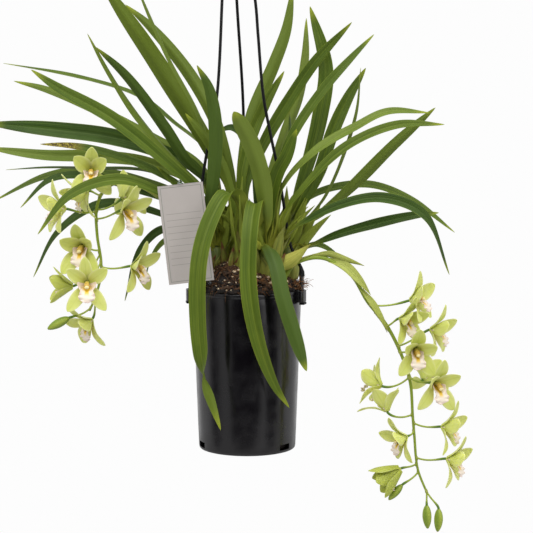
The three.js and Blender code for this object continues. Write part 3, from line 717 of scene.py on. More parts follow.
class Tone(Enum):
    """The greens that the leaves come in; the darkest is partly the leaves' own tone and partly painted
    shade, for leaves that lie in the shade of others.
    """

    # partly painted shade: darkened for leaves that lie in the shade of others
    DARK_AND_SHADED = LeafFinish("leaf_dark", srgb(48, 76, 14), srgb(26, 44, 6), srgb(80, 102, 30), srgb(74, 94, 32))
    MID = LeafFinish("leaf_mid", srgb(76, 98, 20), srgb(50, 72, 10), srgb(106, 122, 38), srgb(98, 114, 38))
    BRIGHT = LeafFinish(
        "leaf_bright", srgb(80, 100, 20), srgb(54, 76, 12), srgb(116, 130, 42), srgb(98, 114, 36))
    PALE = LeafFinish(
        "leaf_pale", srgb(104, 122, 42), srgb(76, 98, 26), srgb(130, 144, 60), srgb(108, 124, 48))
    YOUNG = LeafFinish(
        "leaf_young", srgb(120, 134, 38), srgb(88, 108, 24), srgb(152, 160, 60), srgb(132, 144, 54))
    SPOTTED = LeafFinish(
        "leaf_spotted", srgb(70, 92, 22), srgb(40, 60, 10), srgb(96, 116, 36), srgb(90, 108, 36),
        spotted=True)


@dataclass(frozen=True)
class SheathFinish(Finish):
    """Leafy sheaths and bracts: yellow-green with long veins, and brown where they have dried."""

    name: str = "sheath"
    fresh: Colour = srgb(148, 152, 54)
    veins: Colour = srgb(74, 98, 22)
    dry: Colour = srgb(112, 66, 30)
    roughness: float = 0.5
    relief: float = 0.00015

    def dress(self, shader: Shader) -> Inputs:
        """Streaks the fresh colour, and browns it by the mark dry and toward the edges.

        Args:
            shader: builds the material's nodes.

        Returns:
            What each Principled input reads.
        """
        across, along = shader.surface()
        seed = shader.mark("seed")
        streak = shader.group(GROUPS.streaks, Across=across, Along=along, Count=16.0, Length=1.2, Seed=seed)
        fine = shader.group(GROUPS.streaks, Across=across, Along=along, Count=60.0, Length=2.0, Seed=seed)
        patch = shader.group(GROUPS.mottle, Place=shader.place(), Scale=90.0)
        upper = shader.times(shader.step(along, 0.3, 0.95), 0.55)
        green = shader.math("MAXIMUM", upper, shader.times(streak, 0.7))
        colour = shader.mix(green, self.fresh, self.veins)
        reach = shader.math("ADD", shader.step(shader.aside(across), 0.36, 0.5), shader.step(along, 0.7, 1.0))
        browned = shader.times(shader.math("ADD", reach, shader.times(patch, 0.5)), shader.mark("dry"))
        colour = shader.mix(shader.math("MINIMUM", browned, 1.0), colour, self.dry)
        roughness = shader.between(patch, self.roughness, self.roughness + 0.2)
        return {"Base Color": colour, "Roughness": roughness,
                "Normal": shader.bump(shader.math("ADD", fine, streak), self.relief)}


@dataclass(frozen=True)
class StemFinish(Finish):
    """The green skin of the flower stem and its stalks, darker by the mark deep."""

    fresh: Colour
    deep: Colour
    streaks: float = 14.0
    roughness: float = 0.45
    relief: float = 0.00006

    def dress(self, shader: Shader) -> Inputs:
        """Mixes the two greens by the mark deep, with faint long streaks.

        Args:
            shader: builds the material's nodes.

        Returns:
            What each Principled input reads.
        """
        across, along = shader.surface()
        streak = shader.group(
            GROUPS.streaks, Across=across, Along=along, Count=9.0, Length=self.streaks, Seed=0.0)
        patch = shader.group(GROUPS.mottle, Place=shader.place(), Scale=120.0)
        colour = shader.mix(shader.mark("deep"), self.fresh, self.deep)
        return {"Base Color": shader.tint(colour, self.deep, streak, strength=0.3),
                "Roughness": shader.between(patch, self.roughness, self.roughness + 0.12),
                "Normal": shader.bump(streak, self.relief), "Specular IOR Level": 0.35}


@dataclass(frozen=True)
class TepalFinish(Finish):
    """A petal's or sepal's flesh: pale lime, greener at its foot, creamier at its edges, green when young."""

    name: str = "tepal"
    flesh: Colour = srgb(218, 223, 128)
    foot: Colour = srgb(198, 207, 92)
    edge: Colour = srgb(226, 227, 168)
    veins: Colour = srgb(204, 212, 108)
    back: Colour = srgb(214, 221, 124)
    young: Colour = srgb(160, 170, 56)
    roughness: float = 0.46
    relief: float = 0.00004

    def dress(self, shader: Shader) -> Inputs:
        """Lays back, veins, edge and foot over the flesh, and greens it by the mark young.

        Args:
            shader: builds the material's nodes.

        Returns:
            What each Principled input reads.
        """
        across, along = shader.surface()
        seed = shader.mark("seed")
        vein = shader.group(GROUPS.streaks, Across=across, Along=along, Count=17.0, Length=1.0, Seed=seed)
        patch = shader.group(GROUPS.mottle, Place=shader.place(), Scale=140.0)
        colour = shader.tint(self.flesh, self.back, shader.mark("under"), strength=0.8)
        colour = shader.tint(colour, self.veins, vein, strength=0.4)
        colour = shader.tint(colour, self.edge, shader.step(shader.aside(across), 0.3, 0.5), strength=0.7)
        middle = shader.group(GROUPS.rib, Across=across, Width=0.09)
        colour = shader.tint(colour, self.foot, middle, strength=0.45)
        colour = shader.tint(colour, self.foot, shader.step(along, 0.42, 0.0), strength=0.85)
        colour = shader.tint(colour, self.edge, patch, strength=0.18)
        colour = shader.mix(shader.mark("young"), colour, self.young)
        return {
            "Base Color": colour,
            "Roughness": shader.between(vein, self.roughness, self.roughness + 0.12),
            "Normal": shader.bump(vein, self.relief),
            "Specular IOR Level": 0.3,
            "Subsurface Weight": 0.4,
            "Subsurface Radius": (1.0, 1.0, 0.4),
            "Subsurface Scale": 0.002,
        }


@dataclass(frozen=True)
class LipFinish(Finish):
    """The lip: pinkish white, speckled toward its frilled margin, yellow ridges, ochre side lobes."""

    name: str = "lip"
    ground: Colour = srgb(240, 227, 208)
    margin: Colour = srgb(232, 206, 198)
    specks: Colour = srgb(206, 150, 148)
    ridge: Colour = srgb(238, 196, 34)
    lobes: Colour = srgb(214, 176, 92)
    roughness: float = 0.45
    relief: float = 0.00003

    def dress(self, shader: Shader) -> Inputs:
        """Paints margin, specks, side lobes and the yellow middle by place on the lip.

        Args:
            shader: builds the material's nodes.

        Returns:
            What each Principled input reads.
        """
        across, along = shader.surface()
        aside = shader.aside(across)
        rim = shader.math("MAXIMUM", shader.step(aside, 0.3, 0.5), shader.step(along, 0.84, 1.0))
        colour = shader.tint(self.ground, self.margin, rim, strength=0.55)
        speck = shader.group(GROUPS.specks, Place=shader.place(), Scale=950.0, Size=0.3)
        colour = shader.tint(colour, self.specks, speck, strength=shader.between(rim, 0.12, 0.75))
        side = shader.times(shader.step(aside, 0.38, 0.2), shader.step(along, 0.56, 0.4))
        colour = shader.tint(colour, self.lobes, side, strength=0.6)
        middle = shader.times(shader.step(aside, 0.2, 0.1), shader.step(along, 0.78, 0.6))
        colour = shader.tint(colour, self.ridge, middle, strength=0.95)
        return {"Base Color": colour, "Roughness": self.roughness, "Normal": shader.bump(speck, self.relief)}


@dataclass(frozen=True)
class ColumnFinish(Finish):
    """The column: olive at its foot, ochre toward its end, with fine red-brown flecks."""

    name: str = "column"
    foot: Colour = srgb(176, 182, 84)
    end: Colour = srgb(206, 170, 78)
    flecks: Colour = srgb(148, 82, 40)
    roughness: float = 0.38
    relief: float = 0.00005

    def dress(self, shader: Shader) -> Inputs:
        """Grades the colour along the column and flecks it.

        Args:
            shader: builds the material's nodes.

        Returns:
            What each Principled input reads.
        """
        _, along = shader.surface()
        colour = shader.mix(shader.step(along, 0.2, 0.85), self.foot, self.end)
        fleck = shader.group(GROUPS.specks, Place=shader.place(), Scale=1300.0, Size=0.26)
        return {"Base Color": shader.tint(colour, self.flecks, fleck, strength=0.5),
                "Roughness": self.roughness, "Normal": shader.bump(fleck, self.relief)}


@dataclass(frozen=True)
class GrainFinish(Finish):
    """A rough natural grain whose pieces differ in shade by the mark shade, which on the medium's chips and
    fibres also holds painted shade toward the pot's left.
    """

    dark: Colour
    light: Colour
    scale: float
    relief: float
    roughness: float = 0.85

    def dress(self, shader: Shader) -> Inputs:
        """Mixes two colours by the square of the shade and by noise, and pits the surface.

        Args:
            shader: builds the material's nodes.

        Returns:
            What each Principled input reads.
        """
        place = shader.place()
        patch = shader.group(GROUPS.mottle, Place=place, Scale=self.scale)
        fine = shader.noise(place, self.scale * 5, detail=4.0)
        grain = shader.math("ADD", shader.times(patch, 0.45), shader.times(fine, 0.25))
        shade = shader.times(shader.mark("shade"), shader.mark("shade"))
        colour = shader.tint(self.dark, self.light, shader.math("ADD", grain, shade), strength=0.6)
        return {"Base Color": colour, "Roughness": self.roughness,
                "Normal": shader.bump(shader.math("ADD", fine, patch), self.relief)}


@dataclass(frozen=True)
class MouldedFinish(Finish):
    """Moulded black plastic: a satin skin, faint flow lines round it and a little dust."""

    colour: Colour
    dust: Colour
    roughness: float
    scale: float = 60.0
    shine: float = 0.5
    dust_share: float = 0.02
    relief: float = 0.00006

    def dress(self, shader: Shader) -> Inputs:
        """Dusts the plastic in patches, more by the mark dusty, and varies its gloss.

        Args:
            shader: builds the material's nodes.

        Returns:
            What each Principled input reads.
        """
        place, dusty = shader.place(), shader.mark("dusty")
        patch = shader.group(GROUPS.mottle, Place=place, Scale=self.scale)
        stretched = shader.node("ShaderNodeMapping", {"Vector": place, "Scale": (1.0, 1.0, 0.08)}).outputs[0]
        flow = shader.noise(stretched, self.scale * 4, detail=3.0)
        speck = shader.group(GROUPS.specks, Place=place, Scale=420.0, Size=0.16)
        loose = shader.times(shader.math("ADD", patch, speck), dusty)
        share = shader.math("ADD", shader.times(patch, self.dust_share), loose)
        colour = shader.mix(shader.math("MINIMUM", share, 1.0), self.colour, self.dust)
        rough = shader.between(patch, self.roughness, self.roughness + 0.12)
        return {"Base Color": colour, "Roughness": shader.math("MULTIPLY_ADD", dusty, 0.6, rough),
                "Normal": shader.bump(flow, self.relief), "Specular IOR Level": self.shine}


@dataclass(frozen=True)
class CardFinish(Finish):
    """Printed card: pinkish grey, with a plain ruled border and blank writing lines.

    Its border and lines are placed by shares of the card's width and height.
    """

    name: str = "card"
    paper: Colour = srgb(173, 166, 161)
    clouded: Colour = srgb(162, 154, 149)
    ink: Colour = srgb(96, 108, 94)
    height_to_width: float = 2.19
    border: float = 0.055
    border_line: float = 0.008
    rules: int = 9
    rule_from: float = 0.16
    rule_to: float = 0.74
    relief: float = 0.00004

    def dress(self, shader: Shader) -> Inputs:
        """Prints the border and the rules on the paper, whose fibres give it a faint tooth.

        Args:
            shader: builds the material's nodes.

        Returns:
            What each Principled input reads.
        """
        across, along = shader.surface()
        place = shader.place()
        patch = shader.group(GROUPS.mottle, Place=place, Scale=45.0)
        fibre = shader.noise(place, 900.0, detail=4.0)
        side, end = (shader.math("SUBTRACT", 0.5, shader.aside(v)) for v in (across, along))
        inset = shader.math("MINIMUM", side, shader.times(end, self.height_to_width))
        line = shader.math("ABSOLUTE", shader.math("SUBTRACT", inset, self.border))
        border = shader.step(line, self.border_line, self.border_line * 0.5)
        count = self.rules / (self.rule_to - self.rule_from)
        phase = shader.times(shader.math("SUBTRACT", along, self.rule_from), count)
        wave = shader.aside(shader.math("FRACT", phase))
        rule = shader.times(shader.step(wave, 0.035, 0.015), shader.step(side, 0.11, 0.115))
        rows = shader.times(shader.step(along, self.rule_from, self.rule_from + 0.002),
                            shader.step(along, self.rule_to, self.rule_to - 0.002))
        ink = shader.math("MAXIMUM", border, shader.times(rule, rows))
        paper = shader.tint(self.paper, self.clouded, patch, strength=0.25)
        return {"Base Color": shader.tint(paper, self.ink, ink, strength=0.75),
                "Roughness": shader.between(patch, 0.55, 0.68), "Normal": shader.bump(fibre, self.relief)}


@dataclass(frozen=True)
class ClearFinish(Finish):
    """Clear plastic with faint haze."""

    name: str = "clear_strip"
    colour: Colour = srgb(238, 243, 244)

    def dress(self, shader: Shader) -> Inputs:
        """Glass-like, with gloss that varies a little."""
        patch = shader.group(GROUPS.mottle, Place=shader.place(), Scale=160.0)
        return {"Base Color": self.colour, "Roughness": shader.between(patch, 0.06, 0.2),
                "Transmission Weight": 1.0, "IOR": 1.49}


@dataclass(frozen=True)
class FloorFinish(Finish):
    """The studio's plain pale floor."""

    name: str = "floor"
    colour: Colour = srgb(198, 198, 198)
    roughness: float = 0.9

    def dress(self, shader: Shader) -> Inputs:
        """One even colour."""
        return {"Base Color": self.colour, "Roughness": self.roughness}


SHEATH = SheathFinish()
BRACT = SheathFinish("bract", srgb(196, 194, 86), srgb(144, 156, 50), srgb(150, 96, 48))
SPRAY_SHEATH = SheathFinish("spray_sheath", srgb(174, 182, 88), srgb(140, 151, 56), relief=0.00005)
STEM = StemFinish("flower_stem", srgb(150, 166, 58), srgb(116, 140, 40))
STALK = StemFinish("flower_stalk", srgb(168, 182, 72), srgb(84, 118, 28))
BUD_SKIN = StemFinish("bud", srgb(158, 172, 66), srgb(116, 140, 40), streaks=1.2)
FLOWER_LOOKS = (
    TepalFinish(), LipFinish(), ColumnFinish(),
    GrainFinish("anther_cap", srgb(226, 206, 132), srgb(246, 236, 196), 700.0, 0.00003, 0.5),
)
BULB = GrainFinish("bulb_flesh", srgb(84, 100, 32), srgb(140, 146, 62), 120.0, 0.0001, 0.55)
MEDIUM_LOOKS = (
    GrainFinish("peat", srgb(10, 7, 5), srgb(46, 30, 20), 320.0, 0.0006),
    GrainFinish("bark", srgb(14, 9, 6), srgb(124, 84, 48), 210.0, 0.0003),
    GrainFinish("perlite", srgb(196, 172, 136), srgb(246, 232, 208), 500.0, 0.0002),
    GrainFinish("root_fibre", srgb(60, 34, 18), srgb(176, 120, 66), 400.0, 0.0001),
)
POT_PLASTIC = MouldedFinish("pot_plastic", srgb(6, 4, 8), srgb(40, 36, 37), 0.17)
HANGER_PLASTIC = MouldedFinish("hanger_plastic", srgb(10, 10, 11), srgb(40, 39, 40), 0.4, 200.0, 0.2)


# ---------------------------------------------------------------- foliage


@dataclass(frozen=True)
class Seat:
    """Where a leaf stands on its bulb, and how its foot folds round what is inside it.

    Attributes:
        base: the foot of its middle.
        neck: the place that its middle passes above that.
        across: the way that it lies across.
        out: 1 or -1, the side of the fan.
        half_width: half its width at the foot.
        fold: the angle by which each half rises there.
    """

    base: np.ndarray
    neck: np.ndarray
    across: np.ndarray
    out: float
    half_width: float
    fold: float


@dataclass(frozen=True)
class Leaf:
    """One strap leaf.

    Attributes:
        name: the CAD node that it stands for.
        rank: its place in the fan, counted from the middle, with the side as its sign.
        width: the blade's greatest width.
        blade: the way that the blade lies across, above its neck.
        tone: its green.
        points: the places that its middle passes above the neck.
        blunt: the power of its taper; the greater, the rounder its tip.
        widest: the share of its length by which it has its full width.
        twist: how far the blade turns over, in degrees, and the shares where that starts and ends.

    The other fields are the same for every leaf: shares of its length or of its width, and angles.
    """

    name: str
    rank: int
    width: float
    blade: Point
    tone: Tone
    points: tuple[Point, ...]
    blunt: float = 2.4
    widest: float = 0.6
    twist: tuple[float, float, float] = (0.0, 0.6, 0.8)

    steps: int = 80
    columns: int = 13
    blade_turns: tuple[float, float] = (0.04, 0.3)
    neck_reach: float = 0.45
    neck_share: float = 0.56
    neck_ends: float = 0.12
    widens_from: float = 0.02
    least_half: float = 0.15
    taper_start: float = 0.56
    taper_curve: float = 0.75
    thickness: float = 0.8
    edge_thins: float = 0.55
    tip_thins: float = 0.5
    open_fold: float = 22.0
    fold_play: float = 5.0
    fold_opens: float = 0.34
    tip_flattens: float = 0.55
    crease: float = 0.09
    bulge: float = 0.05
    sway: float = 0.05
    tip_sway: float = 0.06

    def grid(self, seat: Seat) -> tuple[np.ndarray, np.ndarray, Marks]:
        """The blade's middle surface.

        At share t of the length and cross place s from -1 to 1, a point lies at
        route(t) + h s cos(f) side + h (sqrt(s^2 + e^2) - e) sin(f) up, where h is half the width there, f
        the angle of the fold and e the softness of its crease. At the foot h and f are those that nest the
        leaf round the ones inside it; the fold opens as the blade turns. The half width falls to a neck,
        rises to the full width and ends as (1 - u^blunt)^0.75 over the last part u. A slow seeded wave lifts
        the two edges in turn, and tips the blade a little.

        Args:
            seat: where the leaf stands on its bulb.

        Returns:
            The middle surface, half its thickness, and its marks.
        """
        noise = np.random.default_rng(text_number(self.name))
        phase, tip, waves = noise.uniform(0, 2 * np.pi), noise.uniform(-1, 1), noise.uniform(2.0, 3.6)
        t, s = sheet_grid(self.steps, self.columns)
        share = t[:, 0]
        rise = seat.neck - seat.base
        reach = self.neck_reach * np.linalg.norm(np.array(self.points[0]) - seat.base) / np.linalg.norm(rise)
        route = Route([seat.base, seat.base + rise * min(1.0, reach), *self.points])
        at, along = route.at(share), route.along(share)
        turn = smooth(*self.blade_turns, share)[:, None]
        side, up = self.cross_ways(seat, share, along, turn)
        half, fold = self.half_width(seat, share), self.fold(seat, share, tip)
        lift = (np.sqrt(s**2 + self.crease**2) - self.crease) * np.sin(fold)[:, None]
        bulge = self.bulge * np.sin(np.pi * np.abs(s)) * turn
        wave = self.sway * turn * np.sin(waves * 2 * np.pi * t + phase) * s
        sway = wave + self.tip_sway * tip * turn * s
        width = half[:, None, None]
        middle = at[:, None] + width * (s * np.cos(fold)[:, None])[..., None] * side[:, None]
        middle = middle + width * (lift + bulge + sway)[..., None] * up[:, None]
        thick = self.thickness / 2 * (1 - self.edge_thins * s**2) * (1 - self.tip_thins * t)
        return middle, thick, sheet_marks(t, s, seed=noise.uniform(0, 40))

    def cross_ways(
        self, seat: Seat, share: np.ndarray, along: np.ndarray, turn: np.ndarray
    ) -> tuple[np.ndarray, np.ndarray]:
        """The blade's directions to its side and up out of it.

        Args:
            seat: where the leaf stands; its foot lies across as the seat does.
            share: shares of the length.
            along: the directions along the blade.
            turn: how far it has turned from the seat's way to its own, from 0 to 1.

        Returns:
            The side directions and the up directions, turned over by the twist.
        """
        lies = unit(np.array(self.blade, float))
        flip = -1.0 if lies @ seat.across < 0 else 1.0
        side = flip * seat.across + (lies - flip * seat.across) * turn
        side = unit(side - np.sum(side * along, -1, keepdims=True) * along) * flip * seat.out
        up = np.cross(along, side)
        over = math.radians(self.twist[0]) * smooth(*self.twist[1:], share)[:, None]
        return np.cos(over) * side + np.sin(over) * up, np.cos(over) * up - np.sin(over) * side

    def half_width(self, seat: Seat, share: np.ndarray) -> np.ndarray:
        """Half the blade's width.

        Args:
            seat: where the leaf stands; its foot is as wide as the seat.
            share: shares of the length.

        Returns:
            The half widths, by the formula that grid() gives.
        """
        end = np.clip((share - self.taper_start) / (1 - self.taper_start), 0, 1)
        taper = (1 - end**self.blunt) ** self.taper_curve
        neck = self.width / 2 * self.neck_share
        half = mixed(seat.half_width, neck, smooth(0.0, self.neck_ends, share))
        half = half + (self.width / 2 - neck) * smooth(self.widens_from, self.widest, share)
        return half * taper + self.least_half

    def fold(self, seat: Seat, share: np.ndarray, tip: float) -> np.ndarray:
        """The angle by which each half of the blade rises, which opens from the seat's to a shallow one.

        Args:
            seat: where the leaf stands.
            share: shares of the length.
            tip: the leaf's own departure, from -1 to 1.

        Returns:
            The angles.
        """
        opened = math.radians(self.open_fold + self.fold_play * tip)
        fold = mixed(seat.fold, opened, smooth(0.0, self.fold_opens, share))
        return fold * mixed(1.0, self.tip_flattens, smooth(0.6, 1.0, share))

    def build(self, seat: Seat) -> None:
        """Makes the leaf's piece."""
        surface = thin_skin(*self.grid(seat))
        make_piece(self.name.replace("leaf", "blade", 1), [surface], [self.tone.value], self.name)


def text_number(text: str) -> int:
    """A number that stays the same from run to run: a text's bytes taken as base 131.

    Args:
        text: the text.

    Returns:
        The number, which serves as a random seed.
    """
    number = 7
    for byte in text.encode():
        number = (number * 131 + byte) % 2147483647
    return number


@dataclass(frozen=True)
class Flap:
    """A short free blade, such as a young leaf or a bract.

    Attributes:
        points: the places that its middle passes, from its foot to its point.
        width: its greatest width.
        across: the way that it lies across.
        dry: how far it has dried, from 0 to 1.
        fold: how far its halves rise from flat, in degrees.
        finish: the material number.
        taper: the power of its taper; the less, the straighter its sides.

    The other fields are the same for every flap.
    """

    points: tuple[Point, ...]
    width: float
    across: Point
    dry: float = 0.1
    fold: float = 24.0
    finish: int = 1
    taper: float = 1.8

    steps: int = 30
    columns: int = 9
    foot_share: float = 0.5
    widest: float = 0.38
    least_half: float = 0.1
    half_thick: float = 0.35
    crease: float = 0.1
    ripple: float = 0.06
    ripples: float = 7.0

    def surface(self) -> Surface:
        """The blade.

        Its half width rises from the foot to the full width and falls as 1 - u^taper, and its halves rise
        as sqrt(s^2 + e^2) tan(fold), with a ripple along its edges.

        Returns:
            The closed blade.
        """
        t, s = sheet_grid(self.steps, self.columns)
        share = t[:, 0]
        at, _, side, up = Route(self.points).frames(share, self.across)
        narrowing = 1 - np.clip((share - self.widest) / (1 - self.widest), 0, 1) ** self.taper
        full = self.width / 2 * mixed(self.foot_share, 1.0, smooth(0.0, self.widest, share))
        half = (full * narrowing + self.least_half)[:, None, None]
        phase = self.points[0][0] + 1.7 * self.points[-1][2]
        lift = np.sqrt(s**2 + self.crease**2) * math.tan(math.radians(self.fold))
        lift = lift + self.ripple * np.sin(self.ripples * t + phase) * s
        grid = at[:, None] + half * (s[..., None] * side[:, None] + lift[..., None] * up[:, None])
        marks = sheet_marks(t, s, seed=phase % 40, dry=self.dry)
        return thin_skin(grid, self.half_thick * (1 - 0.5 * s**2), marks, self.finish)


@dataclass(frozen=True)
class Sheath:
    """A pointed sheath round a bulb: its side and lean as a rank, its length, how dry it is and its flare."""

    rank: int
    length: float
    dry: float
    flare: float = 0.0


@dataclass(frozen=True)
class Shoot:
    """One growth: an egg-shaped bulb wrapped in sheaths, with a fan of leaves on top of it.

    Attributes:
        name: the shoot's place in the pot.
        at: where its bulb stands.
        fan: the direction that its leaves fan out along, in degrees.
        sheaths: the sheaths round its bulb, from the innermost.
        bracts: short free blades beside it.

    The other fields are the same for every shoot.
    """

    name: str
    at: tuple[float, float]
    fan: float
    sheaths: tuple[Sheath, ...]
    bracts: tuple[Flap, ...] = ()

    across: float = 11.0
    deep: float = 10.0
    half_height: float = 24.0
    middle: float = 198.0
    ribs: int = 9
    rib_depth: float = 0.012
    air: float = 0.35
    rank_start: float = 1.3
    rank_step: float = 2.1
    rank_lean: float = 6.0
    neck: float = 16.0
    foot_half: float = 3.4
    foot_step: float = 0.5
    wrap_from: float = 184.0
    wrap_angle: float = 115.0
    wrap_closes: float = 0.85
    wrap_steps: int = 26
    wrap_columns: int = 13
    wrap_half_thick: float = 0.3
    layer: float = 0.5
    least_belly: float = 0.72
    lean_from: float = 205.0
    lean: float = 5.0
    young_count: int = 9
    young_from: float = 206.0
    young_spread: float = 9.0
    young_lean: float = 36.0
    young_play: float = 4.0
    young_lengths: tuple[float, float] = (52, 92)
    young_offsets: tuple[float, float] = (-4, 7)
    young_widths: tuple[float, float] = (10, 14)
    young_bends: tuple[tuple[float, float], ...] = ((0, 0), (0.35, 0), (0.7, 0.6), (1, 1.6))

    def seat(self, rank: int) -> Seat:
        """The seat of a rank: its crease lies at the rank's offset and its edges reach the fan's middle.

        The half width is then sqrt(a^2 + o^2) and the fold atan(o / a), where o is the offset and a the
        rank's half depth.

        Args:
            rank: the leaf's place in the fan.

        Returns:
            The seat, which is on the bulb's top with a little air.
        """
        out = math.copysign(1.0, rank)
        offset = self.rank_start + self.rank_step * (abs(rank) - 1)
        inward = min(max(offset - self.rank_start, 0), 0.97 * self.deep)
        height = self.half_height * math.sqrt(1 - (inward / self.deep) ** 2)
        lean = math.radians(self.rank_lean * abs(rank))
        fan, across = flat_turn(self.fan)
        base = np.array([*self.at, self.middle + height + self.air]) + fan * out * offset
        up = np.array([0, 0, math.cos(lean)]) + fan * out * math.sin(lean)
        half_depth = self.foot_half + self.foot_step * abs(rank)
        half, fold = math.hypot(half_depth, offset), math.atan2(offset, half_depth)
        return Seat(base, base + up * self.neck, across, out, half, fold)

    def bulb(self) -> Surface:
        """The egg: a unit ball stretched to the bulb's sizes, with shallow ribs round it.

        Returns:
            The closed egg.
        """
        around = ring_angles(40)
        ribs = 1 + self.rib_depth * np.cos(self.ribs * around)
        stretch = np.stack([self.across * ribs, self.deep * ribs, -self.half_height + 0 * around], -1)
        egg = ball(30, len(around), 0.04) * stretch
        return skin(egg + np.array([*self.at, self.middle])).marked(shade=0.3)

    def wrap(self, number: int, sheath: Sheath) -> Surface:
        """A sheath round the bulb, from the growing medium up to its pointed top.

        At share t of its height and cross place s, it stands at the angle 115 degrees x s (1 - 0.85 t^1.7)
        from the fan's side and at the bulb's radius plus a layer, and it rises to its top times
        1 - 0.3 |s|^1.6. The layer grows with the sheath's number and toward its top, where it flares.

        Args:
            number: how many sheaths are under it.
            sheath: its own sizes.

        Returns:
            The closed sheath.
        """
        t, s = sheet_grid(self.wrap_steps, self.wrap_columns)
        noise = np.random.default_rng(text_number(self.name) + 31 * number)
        z = self.wrap_from + sheath.length * (1 - 0.3 * np.abs(s) ** 1.6) * t
        turn = math.radians(self.fan) + (math.pi if sheath.rank < 0 else 0.0)
        angle = turn + np.radians(self.wrap_angle) * s * (1 - self.wrap_closes * t**1.7)
        belly = 1 - ((z - self.middle) / self.half_height) ** 2
        flare = (sheath.flare + 0.5) * smooth(0.55, 1.0, t)
        layer = self.layer * (1 + number) + flare + 0.3 * np.sin(5 * s + 4 * t)
        lean = np.sin(math.radians(self.lean) * abs(sheath.rank)) * np.clip(z - self.lean_from, 0, None)
        radius = self.deep * np.sqrt(np.clip(belly, self.least_belly**2, 1)) + layer
        x = self.at[0] + radius * np.cos(angle) * self.across / self.deep + lean * math.cos(turn)
        y = self.at[1] + radius * np.sin(angle) + lean * math.sin(turn)
        marks = sheet_marks(t, s, seed=noise.uniform(0, 40), dry=sheath.dry)
        return thin_skin(np.stack([x, y, z], -1), self.wrap_half_thick * (1 - 0.5 * s**2), marks, 1)

    def young(self) -> list[Surface]:
        """Short leaves that fill the fan, each leaning along it and curving outward.

        Returns:
            The closed leaves.
        """
        noise = np.random.default_rng(text_number(self.name))
        fan, aside = flat_turn(self.fan)
        leans = np.linspace(-self.young_lean, self.young_lean, self.young_count)
        made = []
        for lean in np.radians(leans + noise.uniform(-self.young_play, self.young_play, self.young_count)):
            length = noise.uniform(*self.young_lengths) * math.cos(lean)
            out = noise.uniform(*self.young_offsets)
            foot = np.array([*self.at, self.young_from]) + aside * out
            foot = foot + fan * self.young_spread * math.sin(lean)
            rise = (np.array([0, 0, math.cos(lean)]) + fan * math.sin(lean)) * length
            bend = 0.12 * length * math.sin(lean) * fan + 0.1 * out * aside
            points = [foot + rise * up + bend * over for up, over in self.young_bends]
            across = fan * noise.uniform(0.5, 1) + aside * noise.uniform(-0.7, 0.7)
            width = noise.uniform(*self.young_widths)
            made.append(Flap(tuple(map(tuple, points)), width, tuple(across), fold=20, finish=2).surface())
        return made

    def build(self) -> None:
        """Makes the bulb with its sheaths and short leaves, then each leaf."""
        layers = [self.wrap(number, sheath) for number, sheath in enumerate(self.sheaths)]
        layers += [bract.surface() for bract in self.bracts] + self.young()
        finishes = [BULB, SHEATH, Tone.YOUNG.value, BRACT]
        make_piece(f"shoot_{self.name}", [self.bulb(), *layers], finishes, f"bulb_{self.name}")
        for leaf in LEAVES[self.name]:
            leaf.build(self.seat(leaf.rank))


